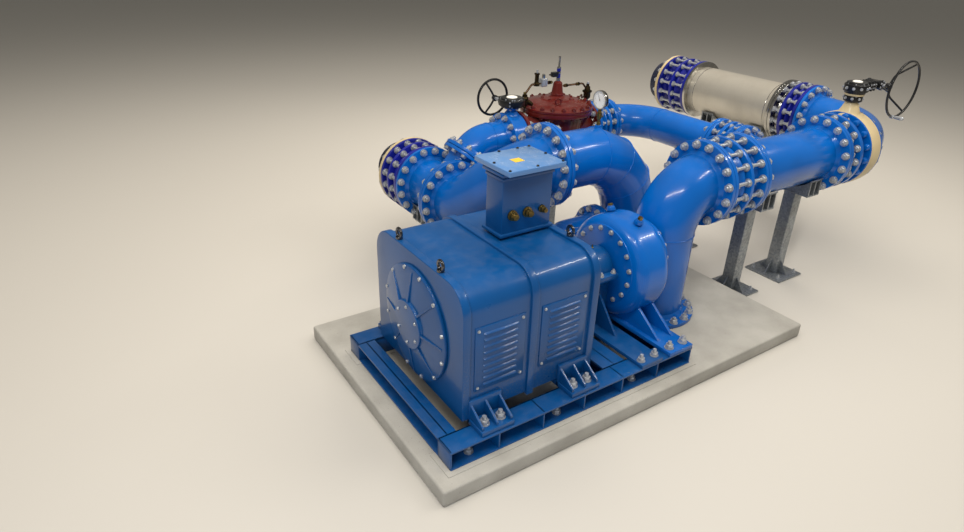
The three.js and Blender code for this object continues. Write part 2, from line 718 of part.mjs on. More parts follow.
function addOutlet(parent) {
  const group = addGroup(parent, [0, 0, 0]);
  const low = PLINTH.height + GAP;
  const left = RISER.leftEnd;
  const riser = joined([
    pipe([[RISER.x, RISER.y, low], [RISER.x, RISER.y, RISER.z], [left, RISER.y, RISER.z]],
      MAIN.pipe, RISER.bend),
    disc("z", low, low + MAIN.thick, MAIN.flange).translate(RISER.x, RISER.y, 0),
    disc("x", RISER.linkX, RISER.x, BYPASS.pipe, BYPASS.sides).translate(0, RISER.y, CASING.outletZ),
    disc("x", RISER.linkX, RISER.linkX + BYPASS.thick, BYPASS.flange, BYPASS.sides)
      .translate(0, RISER.y, CASING.outletZ),
    disc("x", left, left + MAIN.thick, MAIN.flange).translate(0, RISER.y, RISER.z),
    disc("z", RISER.z, RISER.z + MAIN.pipe + GAUGE_BOSS.height, GAUGE_BOSS.radius, 16)
      .translate(GAUGE.x, RISER.y, 0),
  ]);
  addNode(group, "riser_bend", lightBlue, riser);
  const turnEnd = [OUTLET.x, OUTLET.near - GAP, OUTLET.z];
  const descent = joined([
    pipe([[left - GAP, RISER.y, RISER.z], [OUTLET_BEND.cornerX, RISER.y, RISER.z],
      [OUTLET.x, OUTLET_BEND.footY, OUTLET.z], turnEnd], MAIN.pipe, OUTLET_BEND.radius),
    disc("x", left - GAP - MAIN.thick, left - GAP, MAIN.flange).translate(0, RISER.y, RISER.z),
    disc("y", turnEnd[1] - MAIN.thick, turnEnd[1], MAIN.flange).translate(OUTLET.x, 0, OUTLET.z),
  ]);
  addNode(group, "outlet_bend", lightBlue, descent);
  const slope = branchSlope();
  const root = new THREE.Vector3(0, LINE.y, 0);
  const flangeFrom = root.clone().addScaledVector(slope, BRANCH.length - BYPASS.thick);
  const tip = root.clone().addScaledVector(slope, BRANCH.length - 1);
  const straight = joined([
    turned("y", flangedProfile(OUTLET.near, OUTLET.jointNear - GAP, MAIN)),
    pipe([root.toArray(), tip.toArray()], BYPASS.pipe, 0, BYPASS.sides),
    slopingDisc(flangeFrom, slope, BYPASS.thick, BYPASS.flange, BYPASS.sides),
  ]);
  addNode(group, "outlet_pipe", lightBlue, straight, [OUTLET.x, 0, OUTLET.z]);
  const joint = dismantlingJoint("y", OUTLET.jointNear, OUTLET.jointFar, MAIN);
  addNode(group, "outlet_wall_joint", royalBlue, joint, [OUTLET.x, 0, OUTLET.z]);
  const end = wallPipe(OUTLET.jointFar + GAP, OUTLET.wallEnd);
  addNode(group, "outlet_wall_pipe", cream, end, [OUTLET.x, 0, OUTLET.z]);
  addGauge(group);
}

function addGauge(group) {
  const seat = RISER.z + MAIN.pipe + GAUGE_BOSS.height + GAP;
  const top = GAUGE.z - GAUGE.dial - GAUGE.stemLength - seat;
  const lever = disc("y", COCK_LEVER.near, COCK_LEVER.far, COCK_LEVER.radius, 12);
  const cock = joined([
    turned("z", [...COCK, [top, COCK[COCK.length - 1][1]]], 16),
    lever.translate(0, 0, COCK_LEVER.z),
  ]);
  addNode(group, "gauge_cock", brass, cock, [GAUGE.x, RISER.y, seat]);
  const face = disc("x", -GAUGE.depth / 2, GAUGE.depth / 2, GAUGE.dial, 20);
  const stem = disc("z", -GAUGE.dial - GAUGE.stemLength + GAP, -GAUGE.dial + GAUGE.stemLength,
    GAUGE.stem, 12);
  const gauge = joined([face, stem]);
  addNode(group, "pressure_gauge", dial, gauge, [GAUGE.x, RISER.y, GAUGE.z]);
}

// Foot plate, post and a saddle hollowed to the pipe that it carries
function pipeStand(axis, radius, height, hollow) {
  const half = STAND.foot / 2;
  const post = STAND.post / 2;
  const wide = radius * STAND.width;
  const deep = STAND.saddle / 2;
  const saddleLow = height - radius - STAND.wing;
  const saddleHigh = height - radius * STAND.grip;
  const pieces = [
    box([-half, -half, 0], [half, half, STAND.plate]),
    box([-post, -post, STAND.plate - 1], [post, post, saddleLow + 10]),
  ];
  const across = axis === "x" ? [deep, wide] : [wide, deep];
  pieces.push(box([-across[0], -across[1], saddleLow], [across[0], across[1], saddleHigh]));
  const cut = disc(axis, -STAND.saddle, STAND.saddle, hollow, MAIN.sides).translate(0, 0, height);
  return joined(pieces, [cut]);
}

function addStands(group) {
  // A swept pipe's facets lie otherwise than the saddle's, so its saddle is hollowed round its corners
  const swept = (BYPASS.pipe + GAP) / Math.cos(Math.PI / MAIN.sides);
  const places = [
    ["header_left", "x", MAIN.pipe, [1600, HEADER.y], HEADER.z],
    ["header_right", "x", MAIN.pipe, [2170, HEADER.y], HEADER.z],
    ["inlet_near", "y", INLET.spoolRadius, [INLET.x, 1120], INLET.z],
    ["inlet_far", "y", INLET.spoolRadius, [INLET.x, 1700], INLET.z],
    ["bypass", "y", BYPASS.pipe, [BYPASS_BEND.x, 800], LINE.z, swept],
    ["control_valve", "x", CONTROL.body, [CONTROL.x, LINE.y], LINE.z],
    ["outlet", "y", MAIN.pipe, [OUTLET.x, 1640], OUTLET.z],
  ];
  for (const [name, axis, radius, [x, y], height, hollow = radius + GAP] of places) {
    addNode(group, `stand_${name}`, zinc, pipeStand(axis, radius, height, hollow), [x, y, 0]);
  }
}

function build() {
  const set = new THREE.Group();
  addPlinth(set);
  addBaseFrame(set);
  addGenerator(set);
  addTerminalBox(set);
  addShaftLine(set);
  addTurbine(set);
  addOutletLink(set);
  addHeader(set);
  addInletHandwheel(set);
  addInletLine(set);
  addBypass(set);
  addOutlet(set);
  addStands(set);
  return set;
}

export default build();
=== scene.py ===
"""Looks of a hydro turbine generating set with its inlet, bypass and outlet pipework.

Metres, in the part's own frame: X runs along the shaft, Y towards the wall and Z up.
"""

import json
import logging
from dataclasses import dataclass, field
from enum import Enum
from math import asin, cos, pi, radians, sin, sqrt, tan
from typing import Callable

import bmesh
import bpy
from mathutils import Matrix, Vector


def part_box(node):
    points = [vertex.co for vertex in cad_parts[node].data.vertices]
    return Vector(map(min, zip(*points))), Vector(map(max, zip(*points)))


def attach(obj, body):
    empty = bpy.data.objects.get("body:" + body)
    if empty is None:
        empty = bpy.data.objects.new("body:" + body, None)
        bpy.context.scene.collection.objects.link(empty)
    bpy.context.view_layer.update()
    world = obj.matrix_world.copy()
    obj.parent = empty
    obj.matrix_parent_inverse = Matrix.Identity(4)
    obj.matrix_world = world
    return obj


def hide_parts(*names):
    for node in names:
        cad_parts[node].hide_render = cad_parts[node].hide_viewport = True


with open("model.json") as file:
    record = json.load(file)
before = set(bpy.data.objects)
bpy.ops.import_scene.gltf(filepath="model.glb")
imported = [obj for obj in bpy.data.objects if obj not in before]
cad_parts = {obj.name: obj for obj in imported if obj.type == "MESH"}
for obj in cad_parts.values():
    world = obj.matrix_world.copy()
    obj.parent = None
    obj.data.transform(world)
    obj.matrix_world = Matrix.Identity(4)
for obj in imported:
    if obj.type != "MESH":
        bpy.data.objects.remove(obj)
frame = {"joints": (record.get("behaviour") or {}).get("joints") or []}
log = logging.getLogger("turbine_set")

Place = tuple[float, float, float]
Spot = Place | Vector
Pair = tuple[float, float]
Profile = list[Pair]
Shape = bmesh.types.BMesh
Tree = bpy.types.NodeTree
Node = bpy.types.Node

TURN = 2 * pi
QUARTER = pi / 2
ROOT = "set"
FLIPPED = Matrix.Rotation(pi, 4, "X")
# Lays a shape drawn as Y and Z in its own XY plane, and grown along Z, across the shaft
ACROSS = Matrix(((0, 0, 1, 0), (1, 0, 0, 0), (0, 1, 0, 0), (0, 0, 0, 1)))


class Axis(Enum):
    """Direction that a turned shape is laid along."""

    X = (1.0, 0.0, 0.0)
    Y = (0.0, 1.0, 0.0)

    @property
    def vector(self) -> Vector:
        """Unit vector of the axis."""
        return Vector(self.value)

    @property
    def index(self) -> int:
        """0 for X and 1 for Y."""
        return self.value.index(1.0)


# Places


def shift(place: Spot) -> Matrix:
    """Matrix that moves a shape to a place."""
    return Matrix.Translation(place)


def spun(turn: float) -> Matrix:
    """Matrix that turns a shape about its own Z, in radians."""
    return Matrix.Rotation(turn, 4, "Z")


def stood(thick: float) -> Matrix:
    """Matrix that stands a plate drawn in XY up in the XZ plane, centred on it."""
    return Matrix.Rotation(QUARTER, 4, "X") @ shift((0, 0, -thick / 2))


def corners(node: str) -> tuple[Vector, Vector]:
    """Lowest and highest corner of a CAD node."""
    low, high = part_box(node)
    return Vector(low), Vector(high)


def laid(at: Spot, direction: Spot) -> Matrix:
    """Matrix that takes the origin to a place and +Z to a direction."""
    return shift(at) @ Vector(direction).normalized().to_track_quat("Z", "Y").to_matrix().to_4x4()


def ring(base: Matrix, count: int, radius: float, lift: float = 0.0, outward: bool = False) -> list[Matrix]:
    """Lays places evenly round a bolt circle.

    Args:
        base: Where the circle's own centre and Z lie.
        count: Number of places.
        radius: Radius of the circle.
        lift: Height of the circle above the base.
        outward: Whether the bolts point away from the centre instead of along Z.

    Returns:
        The placing matrices.
    """
    turns = [TURN * (k + 0.5) / count for k in range(count)]
    spots = [Vector((radius * cos(a), radius * sin(a), 0.0)) for a in turns]
    up = Vector((0, 0, lift))
    return [base @ (laid(spot + up, spot) if outward else shift(spot + up)) for spot in spots]


def eased(profile: Profile, ease: float, steps: int = 3) -> Profile:
    """Rounds the corners of a profile.

    Args:
        profile: Pairs of place along the axis and radius.
        ease: How far the rounding reaches from a corner.
        steps: Segments in each rounding.

    Returns:
        The profile with its inner corners rounded.
    """
    points = [Vector(point) for point in profile]
    rounded: Profile = [tuple(points[0])]
    for before, corner, after in zip(points, points[1:], points[2:]):
        back, ahead = before - corner, after - corner
        reach = min(ease, back.length * 0.45, ahead.length * 0.45)
        start, end = corner + back.normalized() * reach, corner + ahead.normalized() * reach
        for k in range(steps + 1):
            t = k / steps
            rounded.append(tuple(start * (1 - t) ** 2 + corner * 2 * t * (1 - t) + end * t * t))
    rounded.append(tuple(points[-1]))
    return rounded


# Finishes


def linear(code: str) -> tuple[float, float, float, float]:
    """Turns an sRGB hex colour into linear red, green, blue and an alpha of 1."""
    parts = [int(code[k:k + 2], 16) / 255 for k in (0, 2, 4)]
    return (*[((part + 0.055) / 1.055) ** 2.4 if part > 0.04045 else part / 12.92 for part in parts], 1.0)


def add(tree: Tree, kind: str, inputs: dict[str | int, object], **settings: object) -> Node:
    """Adds a shader node with its settings and links.

    Args:
        tree: Node tree that gets the node.
        kind: Type of the node, without ShaderNode.
        inputs: What each input takes: a value, a socket, or a node for its first output.
        **settings: Values for the node's own properties.

    Returns:
        The node.
    """
    node = tree.nodes.new("ShaderNode" + kind)
    for name, value in settings.items():
        setattr(node, name, value)
    for key, value in inputs.items():
        source = value.outputs[0] if isinstance(value, Node) else value
        if isinstance(source, bpy.types.NodeSocket):
            tree.links.new(source, node.inputs[key])
        else:
            node.inputs[key].default_value = source
    return node


@dataclass(frozen=True)
class Finish:
    """What every finish shares: its names, its two tones and a way to make its material."""

    name: str
    slot: str
    colour: str
    shade: str

    def material(self) -> bpy.types.Material:
        """Gives the finish's material, made once.

        Returns:
            The material.
        """
        made = bpy.data.materials.get(self.name)
        if made:
            return made
        made = bpy.data.materials.new(self.name)
        made.use_nodes = True
        tree = made.node_tree
        tree.nodes.clear()
        add(tree, "OutputMaterial", {"Surface": add(tree, "BsdfPrincipled", self.look(tree))})
        return made

    def look(self, tree: Tree) -> dict[str, object]:
        """Adds the finish's own nodes to its tree and gives the Principled shader's inputs."""
        raise NotImplementedError

    def pattern(self, tree: Tree, size_mm: float, detail: float, span: Pair = (0.0, 1.0),
        onto: Pair = (0.0, 1.0), stretch: Place = (1, 1, 1)) -> Node:
        """Adds a cloudy pattern of one real size on object coordinates.

        Args:
            tree: The material's nodes.
            size_mm: Size of one cloud.
            detail: Octaves of finer clouds.
            span: Strengths of the cloud that give the lowest and the highest value.
            onto: The lowest and the highest value.
            stretch: Scale of the pattern along X, Y and Z.

        Returns:
            The pattern's last node.
        """
        place = add(tree, "Mapping", {0: add(tree, "TexCoord", {}).outputs["Object"], "Scale": stretch})
        cloud = add(tree, "TexNoise", {"Vector": place, "Scale": 1000.0 / size_mm, "Detail": detail})
        return add(tree, "MapRange", {"Value": cloud, "From Min": span[0], "From Max": span[1],
            "To Min": onto[0], "To Max": onto[1]})


@dataclass(frozen=True)
class Enamel(Finish):
    """Two-pack paint on steel or iron: glossy, faintly rippled, dusty on top and chipped at edges."""

    roughness: float = 0.22
    coat: float = 0.35
    ripple_mm: float = 7.0
    ripple_depth_mm: float = 0.02
    dust: float = 0.18
    dust_colour: str = "b9b6ac"
    chips: float = 0.5
    chip_colour: str = "6f6a63"
    cloud_mm: float = 420.0
    smear_mm: float = 130.0
    dust_mm: float = 60.0
    chip_mm: float = 9.0

    def look(self, tree: Tree) -> dict[str, object]:
        """Adds tone, settled dust, edge chips and ripple.

        Args:
            tree: The material's nodes.

        Returns:
            The Principled shader's inputs.
        """
        geometry = add(tree, "NewGeometry", {})
        up = add(tree, "SeparateXYZ", {0: geometry.outputs["Normal"]}).outputs["Z"]
        level = add(tree, "MapRange", {"Value": up, "From Min": 0.55, "From Max": 1.0})
        patches = self.pattern(tree, self.dust_mm, 5.0, (0.42, 0.72), (0.0, self.dust))
        dusted = add(tree, "Math", {0: level, 1: patches}, operation="MULTIPLY")
        edge = add(tree, "MapRange", {0: geometry.outputs["Pointiness"], "From Min": 0.56, "From Max": 0.66})
        spots = self.pattern(tree, self.chip_mm, 4.0, (0.56, 0.62), (0.0, self.chips))
        chipped = add(tree, "Math", {0: edge, 1: spots}, operation="MULTIPLY")
        colour = linear(self.colour)
        for share, over in ((self.pattern(tree, self.cloud_mm, 2.0, (0.35, 0.7)), self.shade),
            (dusted, self.dust_colour), (chipped, self.chip_colour)):
            colour = add(tree, "Mix", {0: share, 6: colour, 7: linear(over)}, data_type="RGBA").outputs[2]
        gloss = (self.roughness * 0.75, self.roughness * 1.35)
        smear = self.pattern(tree, self.smear_mm, 4.0, onto=gloss)
        ripple = self.pattern(tree, self.ripple_mm, 1.0)
        return {"Base Color": colour, "Specular IOR Level": 0.35, "Coat Weight": self.coat,
            "Coat Roughness": 0.06,
            "Roughness": add(tree, "Math", {0: dusted, 1: smear}, operation="ADD"),
            "Normal": add(tree, "Bump", {"Height": ripple, "Distance": self.ripple_depth_mm / 1000})}


@dataclass(frozen=True)
class BareMetal(Finish):
    """Metal without paint, with drawn or rolled lines and blotches."""

    roughness: float = 0.35
    grain_mm: float = 1.5
    grain: Place = (1, 1, 1)
    grain_depth_mm: float = 0.01
    blotch_mm: float = 90.0
    stain: float = 0.35
    metallic: float = 1.0

    def look(self, tree: Tree) -> dict[str, object]:
        """Adds blotches, grain and uneven gloss.

        Args:
            tree: The material's nodes.

        Returns:
            The Principled shader's inputs.
        """
        blotches = self.pattern(tree, self.blotch_mm, 4.0, (0.4, 0.68))
        lines = self.pattern(tree, self.grain_mm, 2.0, stretch=self.grain)
        scored = add(tree, "MapRange", {"Value": lines, "From Min": 0.45, "From Max": 0.75})
        colour = linear(self.colour)
        for pattern, strength in ((blotches, self.stain * 2), (scored, self.stain)):
            share = add(tree, "Math", {0: pattern, 1: strength}, operation="MULTIPLY")
            colour = add(tree, "Mix", {0: share, 6: colour, 7: linear(self.shade)},
                data_type="RGBA").outputs[2]
        rough = add(tree, "MapRange", {"Value": blotches, "To Min": self.roughness * 0.85,
            "To Max": self.roughness * 1.3})
        return {"Base Color": colour, "Metallic": self.metallic, "Roughness": rough,
            "Normal": add(tree, "Bump", {"Height": lines, "Distance": self.grain_depth_mm / 1000})}


@dataclass(frozen=True)
class Galvanised(Finish):
    """Hot-dipped zinc: overlapping crystals a centimetre wide, some dull and some bright."""

    spangle_mm: float = 14.0
    bloom: str = "8b8a84"

    def look(self, tree: Tree) -> dict[str, object]:
        """Adds crystals with their own tone and gloss.

        Args:
            tree: The material's nodes.

        Returns:
            The Principled shader's inputs.
        """
        place = add(tree, "TexCoord", {}).outputs["Object"]
        cells = add(tree, "TexVoronoi", {"Vector": place, "Scale": 1000 / self.spangle_mm}, feature="F1")
        tone = add(tree, "SeparateXYZ", {0: cells.outputs["Color"]})
        stain = self.pattern(tree, 150.0, 4.0, (0.45, 0.75), (0.0, 0.4))
        colour = linear(self.colour)
        for share, over in ((tone, self.shade), (stain, self.bloom)):
            colour = add(tree, "Mix", {0: share, 6: colour, 7: linear(over)}, data_type="RGBA").outputs[2]
        rough = add(tree, "MapRange", {"Value": tone, "To Min": 0.36, "To Max": 0.56})
        relief = self.pattern(tree, 5.0, 2.0)
        return {"Base Color": colour, "Metallic": 0.85, "Roughness": rough,
            "Normal": add(tree, "Bump", {"Height": relief, "Distance": 0.03 / 1000})}


@dataclass(frozen=True)
class Concrete(Finish):
    """Trowelled concrete: cloudy grey with fine sand, and pin holes darkened with painted shade."""

    sand_colour: str = "77746c"
    # Darker colour of the pin holes: painted shade in the pits
    hole_colour: str = "5d5b55"
    hole_pitch_mm: float = 22.0

    def look(self, tree: Tree) -> dict[str, object]:
        """Adds clouds, sand and pin holes darkened with painted shade.

        Args:
            tree: The material's nodes.

        Returns:
            The Principled shader's inputs.
        """
        place = add(tree, "TexCoord", {}).outputs["Object"]
        cells = add(tree, "TexVoronoi", {"Vector": place, "Scale": 1000 / self.hole_pitch_mm})
        solid = add(tree, "MapRange", {"Value": cells, "From Min": 0.05, "From Max": 0.09})
        clouds = self.pattern(tree, 260.0, 6.0, (0.35, 0.7))
        sand = self.pattern(tree, 2.5, 3.0)
        grains = add(tree, "MapRange", {"Value": sand, "From Min": 0.4, "From Max": 0.7, "To Max": 0.35})
        colour = linear(self.colour)
        for share, over in ((clouds, self.shade), (grains, self.sand_colour)):
            colour = add(tree, "Mix", {0: share, 6: colour, 7: linear(over)}, data_type="RGBA").outputs[2]
        # The pin holes take the darker colour as painted shade in the pits
        pitted = add(tree, "Mix", {0: solid, 6: linear(self.hole_colour), 7: colour}, data_type="RGBA")
        relief = add(tree, "Math", {0: solid, 1: sand}, operation="MULTIPLY")
        return {"Base Color": pitted.outputs[2], "Roughness": 0.85,
            "Normal": add(tree, "Bump", {"Height": relief, "Distance": 0.6 / 1000})}


@dataclass(frozen=True)
class Moulded(Finish):
    """Rubber or plastic in one colour, with a faint cloud and a fine grain."""

    roughness: float = 0.5
    cloud_mm: float = 35.0
    grain_mm: float = 1.2
    grain_depth_mm: float = 0.04

    def look(self, tree: Tree) -> dict[str, object]:
        """Adds the cloud and the grain.

        Args:
            tree: The material's nodes.

        Returns:
            The Principled shader's inputs.
        """
        cloud = self.pattern(tree, self.cloud_mm, 4.0, (0.4, 0.7))
        colour = add(tree, "Mix", {0: cloud, 6: linear(self.colour), 7: linear(self.shade)},
            data_type="RGBA")
        grain = self.pattern(tree, self.grain_mm, 2.0)
        return {"Base Color": colour.outputs[2], "Roughness": self.roughness,
            "Normal": add(tree, "Bump", {"Height": grain, "Distance": self.grain_depth_mm / 1000})}


# Azure two-pack epoxy on the station's steel pipes: wet-looking, with long clear highlights
AZURE = Enamel("azure_epoxy_paint", "light_blue_paint", "005fb6", "0052a0", dust=0.03)
# The same enamel on the generator and its frame, a little greener and duller, and darkened as painted shade
# of the machine's shaded sides
NAVY = Enamel("machine_enamel_blue", "light_blue_paint", "054a86", "043f74", roughness=0.3, dust=0.03)
# The terminal box's lid: the same enamel made paler as painted sheen of the lamps on its top, and glossier
PALE_BLUE = Enamel("machine_enamel_lid_blue", "light_blue_paint", "5d86b8", "4f79ad", roughness=0.18,
    dust=0.12)
# Fusion-bonded epoxy on the bought-in joints: deep ultramarine with a satin bloom
ROYAL_BLUE = Enamel("ultramarine_powder_coat", "royal_blue_coating", "141f8c", "0e1768", roughness=0.3,
    dust=0.04, ripple_mm=2.5, ripple_depth_mm=0.03)
# Brush-painted cast iron of the control valve: deep red-brown over a sandy casting
MAROON = Enamel("oxide_red_cast_enamel", "maroon_paint", "5e1b16", "45110e", roughness=0.2,
    ripple_mm=4.0, ripple_depth_mm=0.08, dust=0.06, chips=0.4)
# Satin black enamel on the sandy castings of gearboxes and handwheels
BLACK = Enamel("black_cast_enamel", "black_paint", "0f1011", "191a1c", roughness=0.36,
    ripple_mm=3.0, ripple_depth_mm=0.06, dust=0.1, chips=0.6, chip_colour="8f8f8d")
# Cream epoxy of the butterfly valve's cast body: flat, with hardly any highlight
CREAM = Enamel("cream_cast_epoxy", "cream_paint", "cfc09a", "b9a67e", roughness=0.4,
    ripple_mm=4.0, ripple_depth_mm=0.08, coat=0.1, dust_colour="8f887a")
# Bitumen-dark ductile iron where the pipes go into the wall
WALL_IRON = Enamel("bitumen_coated_iron", "cream_paint", "1b2440", "141a2c", roughness=0.45, coat=0.0,
    ripple_mm=6.0, ripple_depth_mm=0.15)
# Rolled austenitic stainless, pickled: dull grey with rolling lines round the pipe
STAINLESS = BareMetal("pickled_stainless_steel", "stainless_steel", "c9c4b8", "a39d90", roughness=0.4,
    grain_mm=40.0, grain=(1, 18, 1), blotch_mm=240.0, stain=0.14, metallic=0.6)
# Turned stainless of flanges, bezels and rings: brighter than the pickled sheet
TURNED_STEEL = BareMetal("turned_stainless_steel", "stainless_steel", "c9c7c2", "9b9891", roughness=0.22)
# Zinc-plated fasteners: cool light grey with a dull bloom
ZINC = BareMetal("zinc_plated_steel", "galvanised_steel", "c4c8cd", "8f949b", roughness=0.34,
    blotch_mm=12.0, metallic=0.6)
# Mild steel of shafts, dark with oil
OILED_STEEL = BareMetal("oiled_mild_steel", "galvanised_steel", "77777a", "4c4a48", roughness=0.28)
# Hot-dip zinc on the stands: grey crystals that catch the light one by one
GALVANISED = Galvanised("hot_dip_galvanised_steel", "galvanised_steel", "a9aeb3", "8c9298")
# Cast bronze of cocks and glands, brown with handling
BRONZE = BareMetal("cast_bronze", "brass", "a58a4e", "6b5a34", roughness=0.38, blotch_mm=15.0)
# Pilot bodies: the same bronze under a brown-black patina
DARK_BRONZE = BareMetal("patinated_bronze", "brass", "4a3d28", "2b2418", roughness=0.45, blotch_mm=12.0)
# Drawn copper tube, tarnished to a dull brown
COPPER = BareMetal("tarnished_copper_tube", "brass", "8a6a50", "57473a", roughness=0.4, blotch_mm=25.0)
# Trowelled concrete of the plinth: matt, cloudy and sandy
CONCRETE = Concrete("trowelled_concrete", "concrete", "b3b1aa", "9b9992")
# White card of dials, smooth behind its glass
DIAL = Moulded("dial_card_white", "gauge_white", "ecebe4", "e2e0d8", roughness=0.35)
# Black print of ticks and pointer
DIAL_INK = Moulded("dial_ink_black", "black_paint", "111214", "18191b", roughness=0.4)
# Printed polyester label with nothing on it
YELLOW = Moulded("blank_yellow_label", "gauge_white", "e0b93a", "d3a92e", roughness=0.3)
# Neoprene seals and sleeves, dull black; also the solid black core inside the coupling guard, which is
# painted shade behind its slots
RUBBER = Moulded("black_neoprene", "black_paint", "161718", "202122", roughness=0.6)


# Shapes


def turned(profile: Profile, sides: int = 72, ease: float = 0.003, hollow: bool = False) -> Shape:
    """Spins a profile about Z.

    Args:
        profile: Pairs of place along Z and radius, from end to end, or round the section of a ring.
        sides: Steps round the axis.
        ease: Rounding of a solid's corners.
        hollow: Whether the profile is a ring's section, which stays sharp and clear of Z.

    Returns:
        The closed solid.
    """
    shape = bmesh.new()
    ends = [(profile[0][0], 0.0), *profile, (profile[-1][0], 0.0)]
    points = profile if hollow else eased(ends, ease) if ease else ends
    chain = [shape.verts.new((radius, 0.0, place)) for place, radius in points]
    edges = [shape.edges.new(pair) for pair in zip(chain, chain[1:] + (chain[:1] if hollow else []))]
    bmesh.ops.spin(shape, geom=chain + edges, cent=(0, 0, 0), axis=(0, 0, 1), dvec=(0, 0, 0),
        angle=TURN, steps=sides, use_merge=True)
    bmesh.ops.remove_doubles(shape, verts=shape.verts, dist=1e-5)
    bmesh.ops.recalc_face_normals(shape, faces=shape.faces)
    return shape


def bead(radius: float, bar: float, sides: int = 72) -> Shape:
    """Makes a round ring about Z, such as a weld bead or a wheel's rim.

    Args:
        radius: Radius to the middle of the bar.
        bar: Radius of the bar.
        sides: Steps round the axis.

    Returns:
        The ring.
    """
    places = 8 if bar < 0.006 else 14
    turns = [TURN * k / places for k in range(places)]
    return turned([(bar * sin(a), radius + bar * cos(a)) for a in turns], sides, hollow=True)


def soften(shape: Shape, edges: list[bmesh.types.BMEdge], reach: float, segments: int) -> None:
    """Rounds edges of a shape, as far as the reach and in so many segments."""
    bmesh.ops.bevel(shape, geom=edges, offset=reach, segments=segments, affect="EDGES", profile=0.5,
        material=-1, clamp_overlap=True)


def block(one: Spot, other: Spot, ease: float = 0.003, segments: int = 2) -> Shape:
    """Makes a box with rounded edges.

    Args:
        one: One corner.
        other: The corner opposite it.
        ease: Rounding of the edges.
        segments: Segments across each rounding.

    Returns:
        The solid.
    """
    shape = bmesh.new()
    low, high = Vector(map(min, one, other)), Vector(map(max, one, other))
    size = high - low
    bmesh.ops.create_cube(shape, size=1.0, matrix=shift((high + low) / 2) @ Matrix.Diagonal((*size, 1.0)))
    if ease:
        soften(shape, shape.edges[:], min(ease, min(size) * 0.45), segments)
    return shape


def prism(outline: Profile, depth: float, ease: float = 0.002) -> Shape:
    """Extrudes a flat outline in the XY plane up along Z.

    Args:
        outline: Corners of the outline.
        depth: Height of the solid.
        ease: Rounding of the end edges.

    Returns:
        The solid.
    """
    shape = bmesh.new()
    face = shape.faces.new([shape.verts.new((x, y, 0.0)) for x, y in outline])
    grown = bmesh.ops.extrude_face_region(shape, geom=[face])["geom"]
    raised = [item for item in grown if isinstance(item, bmesh.types.BMVert)]
    bmesh.ops.translate(shape, vec=(0, 0, depth), verts=raised)
    bmesh.ops.recalc_face_normals(shape, faces=shape.faces)
    if ease:
        rims = [edge for edge in shape.edges if abs(edge.verts[0].co.z - edge.verts[1].co.z) < depth / 2]
        soften(shape, rims, ease, 3)
    return shape


def swept(route: list[Spot], radius: float, bend: float = 0.0, sides: int = 56,
    arc_steps: int = 16) -> Shape:
    """Makes a pipe along straight runs joined by bends, or mitred where there is no bend.

    Args:
        route: Ends and corners of the centre line.
        radius: Outside radius of the pipe.
        bend: Radius of the centre line at the corners, or 0 for mitres.
        sides: Steps round the pipe.
        arc_steps: Steps along each bend.

    Returns:
        The pipe with closed ends.
    """
    shape = bmesh.new()
    points = [Vector(corner) for corner in route]
    heading = (points[1] - points[0]).normalized()
    rim = bmesh.ops.create_circle(shape, cap_ends=False, segments=sides, radius=radius,
        matrix=laid(points[0], heading))["verts"]
    loop = list({edge for vert in rim for edge in vert.link_edges})
    first = list(loop)
    here = points[0]
    for k in range(1, len(points)):
        last = k == len(points) - 1
        leave = heading if last else (points[k + 1] - points[k]).normalized()
        angle = heading.angle(leave)
        back = 0.0 if last else bend * tan(angle / 2)
        stop = points[k] - heading * back
        plane = heading if bend or last else (heading + leave).normalized()
        if (stop - here).length > 1e-5:
            grown = bmesh.ops.extrude_edge_only(shape, edges=loop)["geom"]
            rim = [item for item in grown if isinstance(item, bmesh.types.BMVert)]
            loop = [item for item in grown if isinstance(item, bmesh.types.BMEdge)
                and item.verts[0] in rim and item.verts[1] in rim]
            for vert in rim:
                vert.co += heading * ((stop - vert.co).dot(plane) / heading.dot(plane))
        if bend and not last and angle > 1e-4:
            axis = heading.cross(leave).normalized()
            turn = bmesh.ops.spin(shape, geom=[*{v for e in loop for v in e.verts}, *loop],
                cent=stop + axis.cross(heading) * bend, axis=axis, dvec=(0, 0, 0), angle=angle,
                steps=arc_steps, use_duplicate=False)["geom_last"]
            loop = [item for item in turn if isinstance(item, bmesh.types.BMEdge)]
            here = points[k] + leave * back
        else:
            here = stop
        heading = leave
    for edges in (first, loop):
        bmesh.ops.edgeloop_fill(shape, edges=edges)
    bmesh.ops.remove_doubles(shape, verts=shape.verts, dist=1e-6)
    bmesh.ops.recalc_face_normals(shape, faces=shape.faces)
    return shape


def rod(low: float, high: float, radius: float, sides: int, top: float | None = None) -> Shape:
    """Makes a straight or tapered rod about Z with flat ends.

    Args:
        low: Height of its lower end.
        high: Height of its upper end.
        radius: Radius of its lower end.
        sides: Sides round it.
        top: Radius of its upper end, or none for the same.

    Returns:
        The solid.
    """
    shape = bmesh.new()
    bmesh.ops.create_cone(shape, cap_ends=True, segments=sides, radius1=radius, depth=high - low,
        radius2=radius if top is None else top, matrix=shift((0, 0, (low + high) / 2)))
    return shape


def hexagon(across: float, low: float, high: float) -> Shape:
    """Makes a hexagonal head or nut about Z with chamfered ends.

    Args:
        across: Width across the flats.
        low: Height of its underside.
        high: Height of its top.

    Returns:
        The solid.
    """
    shape = rod(low, high, across / sqrt(3), 6)
    tips = [edge for edge in shape.edges if all(vert.co.z > (low + high) / 2 for vert in edge.verts)]
    soften(shape, tips, (high - low) * 0.12, 2)
    return shape


def pour(shape: Shape, into: Shape, places: tuple[Matrix, ...] = ()) -> None:
    """Adds a shape to another one and uses it up.

    Args:
        shape: The shape to add.
        into: The shape that gets it.
        places: Where copies of it go, or none for where it is.
    """
    scratch = bpy.data.meshes.new("scratch")
    shape.to_mesh(scratch)
    shape.free()
    for place in places or (Matrix.Identity(4),):
        copy = scratch.copy()
        copy.transform(place)
        into.from_mesh(copy)
        bpy.data.meshes.remove(copy)
    bpy.data.meshes.remove(scratch)


